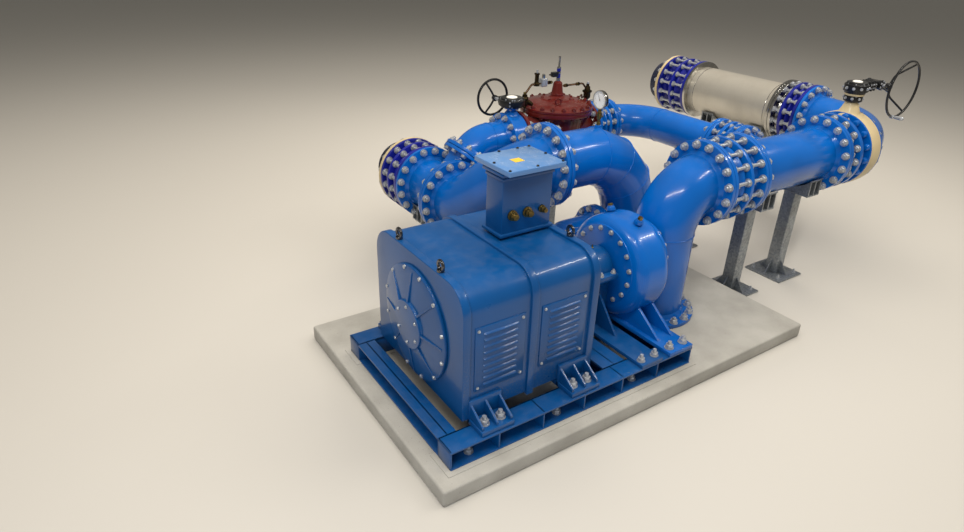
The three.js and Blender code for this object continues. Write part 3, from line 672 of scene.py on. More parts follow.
def bolt(size: float, thread: float = 0.0) -> Shape:
    """Makes a hexagon head or nut with its washer, standing on the XY plane.

    Args:
        size: Thread diameter.
        thread: How far a threaded end stands out past the nut, or 0 for a bolt head.

    Returns:
        The solids.
    """
    thick = size * 0.14
    top = thick + size * (0.85 if thread else 0.66)
    whole = rod(0, thick, size * 1.08, 20)
    pour(hexagon(size * 1.6, thick, top), whole)
    if thread:
        pour(rod(top, top + thread, size / 2, 12, size * 0.44), whole)
    return whole


@dataclass
class Piece:
    """One visible piece: shapes with their finishes, gathered in one mesh."""

    name: str
    shape: Shape = field(default_factory=bmesh.new)
    finishes: list[Finish] = field(default_factory=list)

    def put(self, shape: Shape, finish: Finish, *places: Matrix) -> "Piece":
        """Adds a shape at one or more places.

        Args:
            shape: The shape, which is used up.
            finish: Its finish.
            *places: Where copies of it go, or none for where it is.

        Returns:
            The piece itself.
        """
        if finish not in self.finishes:
            self.finishes.append(finish)
        for face in shape.faces:
            face.material_index = self.finishes.index(finish)
        pour(shape, self.shape, places)
        return self

    def finish(self, *nodes: str, body: str = ROOT, sharp: float = 32.0) -> None:
        """Makes the object, which replaces its CAD nodes and rides on its body.

        Args:
            *nodes: CAD nodes that the piece stands for.
            body: Body that it moves with.
            sharp: Angle in degrees above which an edge stays sharp.
        """
        mesh = bpy.data.meshes.new(self.name)
        self.shape.to_mesh(mesh)
        self.shape.free()
        for finish in self.finishes:
            mesh.materials.append(finish.material())
        mesh.shade_smooth()
        mesh.set_sharp_from_angle(angle=radians(sharp))
        thing = bpy.data.objects.new(self.name, mesh)
        bpy.context.scene.collection.objects.link(thing)
        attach(thing, body)
        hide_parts(*nodes)
        log.info("%s: %d faces, stands for %s", self.name, len(mesh.polygons), ", ".join(nodes))


# Standard sizes


@dataclass(frozen=True)
class PipeSize:
    """One nominal pipe with its flange and bolts, as radii and diameters in metres."""

    pipe: float
    flange: float
    thick: float
    bolts: int
    pitch: float
    bolt: float
    sides: int

    @property
    def face(self) -> float:
        """Radius of the raised face, inside the bolts."""
        return self.pitch - self.bolt * 0.8


MAIN = PipeSize(pipe=0.203, flange=0.290, thick=0.030, bolts=16, pitch=0.2625, bolt=0.027, sides=96)
BYPASS = PipeSize(pipe=0.140, flange=0.203, thick=0.028, bolts=12, pitch=0.1775, bolt=0.024, sides=80)
RAISED = 0.002
WELD = 0.0035
# Play between two faces that sit on each other
PLAY = 0.0003
# Thread that stands out past a nut, on most flanges and on the foot flanges
THREAD = 0.012
FOOT_THREAD = 0.014
SHAFT_Z = 0.6
PIPE_Z = 1.0


@dataclass(frozen=True)
class Span:
    """Where a turned CAD node lies: its ends along its axis and its centre line."""

    axis: Axis
    start: float
    end: float
    centre: Vector

    @classmethod
    def of(cls, node: str, axis: Axis) -> "Span":
        """Reads the span of a node from the frame.

        Args:
            node: Name of the CAD node.
            axis: Axis that it is turned about.

        Returns:
            The span.
        """
        low, high = corners(node)
        centre = (low + high) / 2
        centre[axis.index] = 0.0
        return cls(axis, low[axis.index], high[axis.index], centre)

    def at(self, along: float) -> Vector:
        """Place on the centre line."""
        return self.centre + self.axis.vector * along

    @property
    def length(self) -> float:
        """Distance between the ends."""
        return self.end - self.start

    @property
    def base(self) -> Matrix:
        """Matrix that lays a shape along Z onto the centre line, from the start."""
        return laid(self.at(self.start), self.axis.vector)


@dataclass(frozen=True)
class Flange:
    """A welding-neck flange at a place, facing a direction."""

    size: PipeSize
    face: Spot
    facing: Spot

    def put_on(self, piece: Piece, finish: Finish) -> None:
        """Adds the disc with its raised face and neck weld.

        Args:
            piece: Piece that gets it.
            finish: Its finish.
        """
        size = self.size
        neck = size.pipe + 0.014
        profile = [(-size.thick - 0.032, size.pipe - 0.002), (-size.thick - 0.026, size.pipe + 0.002),
            (-size.thick - 0.006, neck), (-size.thick, neck + 0.004), (-size.thick, size.flange),
            (-RAISED, size.flange), (-RAISED, size.face), (0.0, size.face)]
        piece.put(turned(profile, size.sides, 0.0025), finish, laid(self.face, self.facing))

    def fit(self, piece: Piece, thread: float = THREAD, finish: Finish = AZURE) -> None:
        """Adds the disc and bolt heads or nuts on its back.

        Args:
            piece: Piece that gets them.
            thread: Length of thread past each nut, or 0 for heads.
            finish: Finish of the disc.
        """
        self.put_on(piece, finish)
        facing = Vector(self.facing).normalized()
        back = laid(Vector(self.face) - facing * self.size.thick, -facing)
        piece.put(bolt(self.size.bolt, thread), ZINC, *ring(back, self.size.bolts, self.size.pitch))


def weld(piece: Piece, finish: Finish, at: Spot, facing: Spot, radius: float) -> None:
    """Adds a weld bead round a pipe of that outside radius, at a place on its centre line."""
    piece.put(bead(radius, WELD, 80), finish, laid(at, facing))


def flanged_pipe(node: str, size: PipeSize, route: list[Spot], bend: float, arc_steps: int = 20,
    thread: float = THREAD, welded: bool = True) -> None:
    """Builds a light-blue pipe with bends and a flange on either end.

    Args:
        node: CAD node that it stands for.
        size: Its nominal size.
        route: Ends and corners of its centre line.
        bend: Radius of the bends.
        arc_steps: Steps along each bend.
        thread: Length of thread past each nut, or 0 for heads.
        welded: Whether weld beads show at the ends of its bend.
    """
    points = [Vector(point) for point in route]
    piece = Piece(node + "_pipe")
    piece.put(swept(points, size.pipe, bend, size.sides, arc_steps), AZURE)
    for end, before in ((points[0], points[1]), (points[-1], points[-2])):
        Flange(size, end, end - before).fit(piece, thread)
    if welded:
        start, corner, end = points
        back = bend * tan((corner - start).angle(end - corner) / 2)
        for run in ((start - corner).normalized(), (end - corner).normalized()):
            weld(piece, AZURE, corner + run * back, run, size.pipe)
    piece.finish(node)


def branched_pipe(name: str, node: str, start: Vector, end: Vector, root: Vector, slope: Vector,
    reach: float, thread: float) -> None:
    """Builds a straight light-blue pipe with a flange on either end and a flanged branch.

    Args:
        name: Name of the piece.
        node: CAD node that it stands for.
        start: Centre of its first flange's face.
        end: Centre of its last flange's face.
        root: Where the branch leaves the centre line.
        slope: Direction of the branch.
        reach: Distance from the root to the branch's flange face.
        thread: Length of thread past the branch's nuts, or 0 for heads.
    """
    piece = Piece(name)
    run = (end - start).normalized()
    barrel = [(MAIN.thick, MAIN.pipe), ((end - start).length - MAIN.thick, MAIN.pipe)]
    piece.put(turned(barrel, MAIN.sides, 0.001), AZURE, laid(start, run))
    Flange(MAIN, start, -run).fit(piece)
    Flange(MAIN, end, run).fit(piece)
    stub = [(0, BYPASS.pipe), (reach - BYPASS.thick, BYPASS.pipe)]
    piece.put(turned(stub, BYPASS.sides, 0.001), AZURE, laid(root, slope))
    Flange(BYPASS, root + slope * reach, slope).fit(piece, thread)
    piece.finish(node)


def rounded_outline(half: float, low: float, high: float, corner: float) -> Profile:
    """Draws an upright outline with rounded upper corners.

    Args:
        half: Half of its width.
        low: Height of its underside.
        high: Height of its top.
        corner: Radius of the upper corners.

    Returns:
        The outline's corners.
    """
    steps = 10
    arcs = [QUARTER * k / steps for k in range(steps + 1)]
    right = [(half - corner + corner * cos(a), high - corner + corner * sin(a)) for a in arcs]
    left = [(-y, z) for y, z in reversed(right)]
    return [(-half, low), (half, low), *right, *left]


# Sub-assemblies


@dataclass
class Plinth:
    """Concrete plinth with eased edges and a strip of grout under the base frame."""

    ease: float = 0.014
    grout: float = 0.03
    grout_under: float = 0.004
    grout_over: float = 0.005

    def build(self) -> None:
        """Builds the plinth."""
        low, high = corners("plinth")
        piece = Piece("concrete_plinth").put(block(low, high, self.ease, 4), CONCRETE)
        for rail in ("base_rail_near", "base_rail_far"):
            under, over = corners(rail)
            piece.put(block((under.x - self.grout, under.y - self.grout, high.z - self.grout_under),
                (over.x + self.grout, over.y + self.grout, high.z + self.grout_over), 0.004), CONCRETE)
        piece.finish("plinth")


@dataclass
class BaseFrame:
    """Fabricated base: two channels with stiffeners, anchors and cross beams."""

    plate: float = 0.012
    pitch: float = 0.29
    anchor: float = 0.024
    gusset: float = 0.010
    inset: float = 0.004

    def build(self) -> None:
        """Builds both rails and the three beams."""
        for name, outward in (("near", -1), ("far", 1)):
            self.rail(f"base_rail_{name}", outward)
        for name in ("left", "middle", "right"):
            self.beam(f"base_beam_{name}")

    def rail(self, node: str, outward: int) -> None:
        """Builds a channel whose open side faces outwards.

        Args:
            node: CAD node that it stands for.
            outward: Sign of the Y direction that the open side faces.
        """
        low, high = corners(node)
        piece = Piece(node + "_channel")
        web = low.y if outward > 0 else high.y
        piece.put(block((low.x, web, low.z), (high.x, web + outward * self.plate, high.z)), NAVY)
        piece.put(block((low.x, low.y, high.z - self.plate), high), NAVY)
        piece.put(block(low, (high.x, high.y, low.z + self.plate)), NAVY)
        count = round((high.x - low.x) / self.pitch)
        step = (high.x - low.x - self.gusset) / count
        stiffener = block((0, low.y + self.inset, low.z), (self.gusset, high.y - self.inset, high.z), 0.002)
        piece.put(stiffener, NAVY, *[shift((low.x + k * step, 0, 0)) for k in range(count + 1)])
        middle = (low.y + high.y) / 2
        piece.put(bolt(self.anchor, self.anchor * 0.9), ZINC, *[shift((low.x + (k + 0.5) * step, middle,
            low.z + self.plate)) for k in range(0, count, 2)])
        piece.finish(node)

    def beam(self, node: str) -> None:
        """Builds a cross beam of I section.

        Args:
            node: CAD node that it stands for.
        """
        low, high = corners(node)
        middle = (low.x + high.x) / 2
        piece = Piece(node + "_section")
        piece.put(block(low, (high.x, high.y, low.z + self.plate)), NAVY)
        piece.put(block((low.x, low.y, high.z - self.plate), high), NAVY)
        piece.put(block((middle - self.plate / 2, low.y, low.z), (middle + self.plate / 2, high.y, high.z)),
            NAVY)
        piece.finish(node)


@dataclass
class Generator:
    """Closed generator: a fabricated shell with louvred sides, feet, end shields and terminal box."""

    left: float = -1.2
    right: float = -0.33
    half: float = 0.47
    bottom: float = 0.25
    top: float = 1.0
    corner: float = 0.15
    band: float = 0.045
    recess: float = 0.014
    setback: float = 0.004
    eye: float = 0.024
    eye_bar: float = 0.009
    eye_y: float = 0.22
    foot_length: float = 0.2
    foot_reach: float = 0.6
    foot_width: float = 0.19
    foot_plate: float = 0.03
    foot_top: float = 0.31
    foot_inset: float = 0.04
    foot_bolt: float = 0.027
    louvres: int = 9
    panel_margin: float = 0.02
    panel_proud: float = 0.006
    shield_bolts: int = 12
    shield_ribs: int = 8
    rib: float = 0.014

    def build(self) -> None:
        """Builds the shell, the end shields and the terminal box."""
        self.shell()
        self.shield("left", -1)
        self.shield("right", 1)
        self.terminal_box()

    def shell(self) -> None:
        """Builds the shell with its bands, louvres, feet and lifting eyes."""
        piece = Piece("generator_shell")
        outline = rounded_outline(self.half, self.bottom, self.top, self.corner)
        inner = rounded_outline(self.half - self.recess, self.bottom + self.recess, self.top - self.recess,
            self.corner - self.recess)
        place = shift((self.left + self.setback, 0, 0)) @ ACROSS
        piece.put(prism(inner, self.right - self.left - 2 * self.setback, 0.004), NAVY, place)
        bands = (self.left, (self.left + self.right) / 2 - self.band / 2, self.right - self.band)
        piece.put(prism(outline, self.band, 0.004), NAVY,
            *[shift((x, 0, 0)) @ ACROSS for x in bands])
        for side in (-1, 1):
            for start, end in zip(bands, bands[1:]):
                self.louvre_panel(piece, side, start + self.band + 0.05, end - 0.05)
            for start in (self.left + self.foot_inset, self.right - self.foot_inset - self.foot_length):
                self.foot(piece, side, start)
        for x in (bands[0] + self.band / 2, bands[2] + self.band / 2):
            for y in (-self.eye_y, self.eye_y):
                piece.put(bead(self.eye, self.eye_bar, 32), OILED_STEEL, laid((x, y, self.top + 0.034),
                    (1, 0, 0)))
                piece.put(turned([(0, 0.02), (0.014, 0.02)], 24), OILED_STEEL, shift((x, y, self.top)))
        piece.finish("generator_frame")

    def louvre_panel(self, piece: Piece, side: int, low: float, high: float) -> None:
        """Adds a screwed louvre panel between two bands.

        Args:
            piece: Piece that gets it.
            side: Sign of the side in Y.
            low: Place of its first screws along the shaft.
            high: Place of its last screws along the shaft.
        """
        face = side * (self.half - self.recess)
        front = face + side * self.panel_proud
        under, over = self.bottom + 0.17, self.top - self.corner - 0.09
        for x, z in ((low, under), (high, under), (low, over), (high, over)):
            piece.put(bolt(0.008), ZINC, laid((x, front, z), (0, side, 0)))
        margin = self.panel_margin
        piece.put(block((low - margin, face - side * 0.002, under - margin),
            (high + margin, front, over + margin)), NAVY)
        step = (over - under) / self.louvres
        tilt = Matrix.Rotation(-side * 0.6, 4, "X")
        piece.put(block((low + 0.03, -0.012, -0.003), (high - 0.03, 0.012, 0.003), 0.0015), NAVY,
            *[shift((0, front, under + (k + 0.5) * step)) @ tilt for k in range(self.louvres)])

    def foot(self, piece: Piece, side: int, start: float) -> None:
        """Adds one foot with its gussets and holding-down bolts.

        Args:
            piece: Piece that gets it.
            side: Sign of the side in Y.
            start: Its near end along the shaft.
        """
        base = corners("generator_frame")[0].z
        end = start + self.foot_length
        reach, wall = side * self.foot_reach, side * (self.half - self.recess)
        piece.put(block((start, reach, base), (end, side * (self.foot_reach - self.foot_width),
            base + self.foot_plate)), NAVY)
        piece.put(block((start, wall, base), (end, wall + side * 0.02, self.foot_top + 0.05)), NAVY)
        tip = side * (self.foot_reach - 0.012)
        gusset = [(wall, base + 0.02), (tip, base + 0.02), (tip, base + 0.05), (wall, self.foot_top + 0.04)]
        for x in (start + 0.006, start + self.foot_length / 2 - 0.006, end - 0.018):
            piece.put(prism(gusset[::side], 0.012, 0.001), NAVY, shift((x, 0, 0)) @ ACROSS)
        for x in (start + 0.05, end - 0.05):
            piece.put(bolt(self.foot_bolt, 0.02), ZINC,
                shift((x, side * (self.foot_reach - 0.06), base + self.foot_plate)))

    def shield(self, name: str, outward: int) -> None:
        """Builds an end shield with ribs, bolts and a bearing cap.

        Args:
            name: Name of the end.
            outward: Sign of the direction along X that it faces.
        """
        node = f"generator_end_shield_{name}"
        span = Span.of(node, Axis.X)
        base = laid(span.at(span.start if outward > 0 else span.end), (outward, 0, 0))
        radius, depth = corners(node)[1].y, span.length
        piece = Piece(node + "_casting")
        profile = [(0, radius), (depth * 0.3, radius), (depth * 0.42, radius * 0.86),
            (depth * 0.7, radius * 0.5), (depth * 0.74, radius * 0.42), (depth, radius * 0.42)]
        piece.put(turned(profile, 96, 0.006), NAVY, base)
        rib = prism([(radius * 0.4, 0), (radius * 0.93, 0), (radius * 0.93, depth * 0.42),
            (radius * 0.4, depth * 0.95)], self.rib, 0.002)
        piece.put(rib, NAVY, *[base @ spun(TURN * k / self.shield_ribs) @ stood(self.rib)
            for k in range(self.shield_ribs)])
        piece.put(bolt(0.012), ZINC, *ring(base, self.shield_bolts, radius * 0.95, depth * 0.3))
        piece.put(bolt(0.009), ZINC, *ring(base, 6, radius * 0.33, depth))
        piece.finish(node)

    def terminal_box(self) -> None:
        """Builds the terminal box, its glands and its bolted lid with a blank label."""
        low, high = corners("terminal_box")
        # The box's darker enamel is painted shade of its shaded sides
        piece = Piece("terminal_box_body").put(block(low, high, 0.006, 3), NAVY)
        for z, proud in ((low.z + 0.01, 0.014), (high.z - 0.012, 0.018), (high.z - 0.04, 0.006)):
            piece.put(block((low.x - proud, low.y - proud, z - 0.008),
                (high.x + proud, high.y + proud, z + 0.008), 0.002), NAVY)
        for share, size in ((0.2, 0.03), (0.5, 0.03), (0.8, 0.022)):
            gland = turned([(0, size), (0.01, size), (0.011, size * 0.8), (0.03, size * 0.8),
                (0.031, size * 0.66), (0.045, size * 0.6)], 32, 0.001)
            x = low.x + (high.x - low.x) * share
            piece.put(gland, BRONZE, laid((x, low.y, low.z + 0.12), (0, -1, 0)))
        piece.finish("terminal_box")
        under, over = corners("terminal_box_lid")
        # The lid's paler enamel is painted sheen of the lamps on its top
        lid = Piece("terminal_box_cover").put(block(under, over, 0.004, 3), PALE_BLUE)
        side, far = under.y + 0.165, over.x - 0.014
        front, back = under.y + 0.014, over.y - 0.014
        spots = [(under.x + 0.017, side), (under.x + 0.012, front), (under.x + 0.153, back),
            (under.x + 0.28, back), (far, back), (far, side), (far, front), (under.x + 0.19, front)]
        lid.put(bolt(0.008), BLACK, *[shift((x, y, over.z)) for x, y in spots])
        tag = Vector((under.x + 0.153, under.y + 0.146, over.z))
        lid.put(block(tag - Vector((0.031, 0.028, 0)), tag + Vector((0.031, 0.028, 0.0012)), 0.0004, 1),
            YELLOW)
        lid.finish("terminal_box_lid")


@dataclass
class ShaftLine:
    """Coupling guard, shaft stub and bearing housing between generator and turbine."""

    shaft: float = 0.045
    slots: int = 7
    sheet: float = 0.003
    pedestal: float = 0.1
    inset: float = 0.02
    split: float = 0.018
    foot: float = 0.024

    def build(self) -> None:
        """Builds the guard, the shaft and the bearing housing."""
        self.guard()
        span = Span.of("generator_shaft", Axis.X)
        shaft = turned([(0, self.shaft), (span.length, self.shaft)], 48, 0.001)
        Piece("generator_shaft_end").put(shaft, OILED_STEEL, span.base).finish("generator_shaft")
        self.bearing()

    def guard(self) -> None:
        """Builds the arched sheet guard with slots, foot flanges and screws."""
        low, high = corners("coupling_guard")
        half, length = high.y, high.x - low.x
        foot = low.z + self.sheet
        piece = Piece("coupling_guard_sheet")
        outline = rounded_outline(half, foot, high.z, half * 0.98)
        inner = rounded_outline(half - 0.004, foot, high.z - 0.004, half * 0.98 - 0.004)
        place = shift((low.x, 0, 0)) @ ACROSS
        # Solid black core behind the slots: painted shade of the guard's hollow inside
        piece.put(prism(inner, length, 0.001), RUBBER, place)
        share = length / (self.slots * 2 + 1)
        piece.put(prism(outline, share, 0.0008), GALVANISED,
            *[place @ shift((0, 0, 2 * k * share)) for k in range(self.slots + 1)])
        crown = [(-0.03, high.z - 0.006), (0.03, high.z - 0.006), (0.03, high.z), (-0.03, high.z)]
        piece.put(prism(crown, length, 0.0005), GALVANISED, place)
        for side in (-1, 1):
            piece.put(block((low.x, side * (half - 0.004), low.z), (high.x, side * (half + 0.035), foot),
                0.0008), GALVANISED)
            for x in (low.x + 0.025, high.x - 0.025):
                piece.put(bolt(0.01), ZINC, shift((x, side * (half + 0.018), foot)))
        piece.finish("coupling_guard")

    def bearing(self) -> None:
        """Builds the split bearing housing on its pedestal."""
        low, high = corners("bearing_housing")
        piece = Piece("bearing_housing_casting")
        radius, length = high.z - SHAFT_Z, high.x - low.x
        half = [(0, radius * 0.62), (0.02, radius * 0.66), (0.024, radius * 0.94), (0.05, radius)]
        drum = half + [(length - x, reach) for x, reach in reversed(half)]
        piece.put(turned(drum, 80, 0.004), NAVY, laid((low.x, 0, SHAFT_Z), (1, 0, 0)))
        for side in (-1, 1):
            piece.put(block((low.x + 0.03, side * radius * 0.9, SHAFT_Z - self.split),
                (high.x - 0.03, side * (radius + 0.045), SHAFT_Z + self.split), 0.006), NAVY)
            for x in (low.x + 0.055, high.x - 0.055):
                piece.put(bolt(0.016, 0.01), ZINC,
                    shift((x, side * (radius + 0.022), SHAFT_Z + self.split)))
        near, far, middle = low.x + self.inset, high.x - self.inset, (low.x + high.x) / 2
        piece.put(block((near, -self.pedestal, low.z + 0.01), (far, self.pedestal, SHAFT_Z - 0.02), 0.008),
            NAVY)
        for side in (-1, 1):
            rib = [(side * self.pedestal, low.z + 0.02), (side * 0.3, low.z + 0.02),
                (side * self.pedestal, SHAFT_Z - 0.12)]
            piece.put(prism(rib[::side], 0.016, 0.002), NAVY,
                shift((middle - 0.008, 0, 0)) @ ACROSS)
        piece.put(block((near, low.y, low.z), (far, high.y, low.z + self.foot)), NAVY)
        for side in (-1, 1):
            for x in (low.x + 0.05, high.x - 0.05):
                piece.put(bolt(0.024, 0.02), ZINC, shift((x, side * (high.y - 0.045), low.z + self.foot)))
        nipple = turned([(0, 0.008), (0.008, 0.008), (0.01, 0.005), (0.022, 0.004), (0.026, 0.003)], 16,
            0.0005)
        piece.put(nipple, BRONZE, shift((middle, 0, high.z - 0.001)))
        piece.finish("bearing_housing")


@dataclass
class Turbine:
    """Scroll casing round the shaft, its axial cover and the outlet link to the riser."""

    left: float = 0.15
    right: float = 0.44
    round: float = 0.08
    large: float = 0.365
    small: float = 0.310
    proud: float = 0.003
    face: float = 0.262
    face_bolts: int = 16
    outlet_z: float = 0.43
    outlet_end: float = 0.44
    foot_half: float = 0.1
    foot_far: float = 0.38
    foot_plate: float = 0.026
    link_y: float = 0.69
    link_bend: float = 0.19

    @property
    def middle(self) -> float:
        """Middle of the casing along the shaft."""
        return (self.left + self.right) / 2

    def build(self) -> None:
        """Builds the casing, the cover and the low pipe from the casing's outlet to the riser."""
        self.casing()
        span = Span.of("turbine_cover", Axis.X)
        radius = corners("turbine_cover")[1].y
        cover = turned([(0, radius), (span.length, radius)], 96, 0.004)
        Piece("turbine_axial_cover").put(cover, AZURE, span.base).finish("turbine_cover")
        near, far = corners("outlet_link")
        route = [(self.middle, near.y, self.outlet_z), (self.middle, self.link_y, self.outlet_z),
            (far.x, self.link_y, self.outlet_z)]
        flanged_pipe("outlet_link", BYPASS, route, self.link_bend, 16, thread=0.0, welded=False)

    def scroll(self) -> Shape:
        """Shapes the scroll: a disc widened towards its lowest point, with its rims rolled over.

        Returns:
            The scroll along X, centred on the shaft.
        """
        shape = bmesh.new()
        bmesh.ops.create_circle(shape, cap_ends=True, segments=96, radius=1.0)
        length = self.right - self.left - 2 * self.proud
        turns = [QUARTER * k / 10 for k in range(11)]
        near = [(self.round * (1 - cos(a)), self.round * (1 - sin(a))) for a in turns]
        verts, top = shape.verts[:], next(iter(shape.faces))
        for step, (z, inset) in enumerate(near + [(length - z, inset) for z, inset in reversed(near)]):
            if step:
                grown = bmesh.ops.extrude_face_region(shape, geom=[top])["geom"]
                verts = [item for item in grown if isinstance(item, bmesh.types.BMVert)]
                top = next(item for item in grown if isinstance(item, bmesh.types.BMFace))
            for vert in verts:
                out = Vector((vert.co.x, vert.co.y)).normalized()
                reach = self.small + (self.large - self.small) * (0.5 - 0.5 * out.y) - inset
                vert.co = (out.x * reach, out.y * reach, z)
        bmesh.ops.recalc_face_normals(shape, faces=shape.faces)
        return shape

    def casing(self) -> None:
        """Builds the casing with its outlet, foot, plugs and face bolts."""
        piece = Piece("turbine_scroll_casing")
        place = shift((self.left + self.proud, 0, SHAFT_Z)) @ ACROSS
        piece.put(self.scroll(), AZURE, place)
        outlet = turned([(0, BYPASS.pipe - 0.02), (0.08, BYPASS.pipe), (0.4, BYPASS.pipe)], 80, 0.004)
        piece.put(outlet, AZURE, laid((self.middle, self.outlet_end - 0.4, self.outlet_z), (0, 1, 0)))
        Flange(BYPASS, (self.middle, self.outlet_end, self.outlet_z), (0, 1, 0)).fit(piece)
        for x, facing in ((self.left, -1), (self.right, 1)):
            base = laid((x, 0, SHAFT_Z), (facing, 0, 0))
            piece.put(turned([(-0.02, self.face), (0.0, self.face)], 96, 0.003), AZURE, base)
            if facing < 0:
                piece.put(bolt(0.016), ZINC, *ring(base, self.face_bolts, self.face - 0.022))
        low = corners("turbine_casing")[0]
        seat = low.z + self.foot_plate
        piece.put(block((self.middle - self.foot_half, low.y, low.z), (self.middle + self.foot_half,
            self.foot_far, seat)), AZURE)
        web = [(low.y + 0.12, low.z + 0.02), (self.foot_far - 0.02, low.z + 0.02), (0.24, 0.42),
            (-0.24, 0.42)]
        for x in (self.middle - 0.07, self.middle + 0.05):
            piece.put(prism(web, 0.02, 0.002), AZURE, shift((x, 0, 0)) @ ACROSS)
        for x in (self.middle - 0.06, self.middle + 0.06):
            piece.put(bolt(0.027, 0.02), ZINC, shift((x, low.y + 0.05, seat)))
        for side in (-1, 1):
            boss = laid((self.middle, side * 0.12, SHAFT_Z + self.small - 0.012), (0, side * 0.35, 1))
            piece.put(turned([(0, 0.03), (0.02, 0.026), (0.024, 0.022), (0.03, 0.022)], 32, 0.002), AZURE,
                boss)
            piece.put(hexagon(0.03, 0.03, 0.045), BRONZE, boss)
        piece.finish("turbine_casing")


@dataclass
class DismantlingJoint:
    """Flanged joint that can be drawn apart: socket, gland ring and spigot held by tie rods."""

    node: str
    axis: Axis
    size: PipeSize
    finish: Finish
    spigot: Finish | None = None
    lining: float = 0.0
    sleeve: float = 0.012
    gland: float = 0.052
    gland_share: float = 0.42
    gland_gap: float = 0.014
    gland_ring: float = 0.030
    seal: float = 0.03

    def build(self) -> None:
        """Builds the joint with its tie rods and their nuts."""
        span = Span.of(self.node, self.axis)
        size, length, base, along = self.size, span.length, span.base, self.axis.vector
        piece = Piece(self.node + "_assembly")
        socket, gland, seal = size.pipe + self.sleeve, size.pipe + self.gland, size.pipe + self.seal
        bell = length * self.gland_share
        ring_low = bell + self.gland_gap
        ring_high = ring_low + self.gland_ring
        piece.put(turned([(size.thick - 0.004, socket), (bell * 0.62, socket), (bell * 0.86, gland),
            (bell, gland)], size.sides, 0.008), self.finish, base)
        piece.put(turned([(bell, seal), (ring_low, seal)], size.sides, 0.001), RUBBER, base)
        piece.put(turned([(ring_low, size.flange), (ring_high, size.flange), (ring_high + 0.004, seal),
            (ring_high + 0.016, size.pipe + 0.018), (ring_high + 0.018, size.pipe + 0.002)], size.sides,
            0.003), self.finish, base)
        spigot = self.spigot or self.finish
        piece.put(turned([(bell, size.pipe), (length - size.thick, size.pipe)], size.sides, 0.001), spigot,
            base)
        Flange(size, span.at(span.start), -along).put_on(piece, self.finish)
        Flange(size, span.at(span.end), along).put_on(piece, spigot)
        if self.lining:
            disc = [(length - 0.002, self.lining), (length + 0.0002, self.lining)]
            piece.put(turned(disc, size.sides, 0), WALL_IRON, base)
        piece.put(rod(size.thick, length - size.thick, size.bolt * 0.46, 12), ZINC,
            *ring(base, size.bolts, size.pitch))
        for seat, turn in ((size.thick, Matrix()), (ring_low, FLIPPED), (ring_high, Matrix()),
            (length - size.thick, FLIPPED)):
            piece.put(bolt(size.bolt), ZINC,
                *[place @ turn for place in ring(base, size.bolts, size.pitch, seat)])
        piece.finish(self.node)


@dataclass
class ValveJoint:
    """Close-coupled joint before the inlet valve: two rings of bolts, the outer ones under blue caps."""

    node: str = "valve_joint"
    sleeve: float = 0.02
    shoulder: float = 0.07
    gland_at: float = 0.12
    gland_thick: float = 0.04
    cap: float = 0.052
    cap_height: float = 0.03
    bolt_turn: float = 116.0
    cap_turn: float = 118.0

    def build(self) -> None:
        """Builds the socket, the gland ring, the end flange and both rings of bolts."""
        span = Span.of(self.node, Axis.X)
        length, wide = span.length, MAIN.pipe + self.sleeve
        back, gland_end = length - MAIN.thick, self.gland_at + self.gland_thick
        piece = Piece(self.node + "_assembly")
        for profile, ease in (
            ([(MAIN.thick, MAIN.pipe), (self.shoulder, MAIN.pipe), (self.shoulder + 0.004, wide),
                (self.gland_at, wide)], 0.002),
            ([(self.gland_at, MAIN.flange), (gland_end, MAIN.flange)], 0.004),
            ([(gland_end, wide), (back, wide)], 0.001),
            ([(back, MAIN.flange), (length, MAIN.flange)], 0.004),
        ):
            piece.put(turned(profile, MAIN.sides, ease), AZURE, span.base)
        Flange(MAIN, span.at(span.start), (-1, 0, 0)).fit(piece)
        piece.put(bolt(MAIN.bolt, 0.01), ZINC, *self.bolts(span, self.gland_at, self.bolt_turn))
        half = self.cap / 2
        cap = turned([(0, half), (self.cap_height * 0.7, half), (self.cap_height, half * 0.6)], 24, 0.004)
        piece.put(cap, AZURE, *self.bolts(span, back, self.cap_turn))
        piece.finish(self.node)

    def bolts(self, span: Span, along: float, turn: float) -> list[Matrix]:
        """Lays out a ring of bolts that point back from the valve.

        Args:
            span: Where the joint lies.
            along: Distance of the ring from the joint's start.
            turn: Angle of one bolt from +Y towards +Z, in degrees.

        Returns:
            The bolts' matrices.
        """
        angles = [radians(turn) + TURN * k / MAIN.bolts for k in range(MAIN.bolts)]
        middle = span.at(span.start + along)
        return [laid(middle + Vector((0, cos(a), sin(a))) * MAIN.pitch, (-1, 0, 0)) for a in angles]


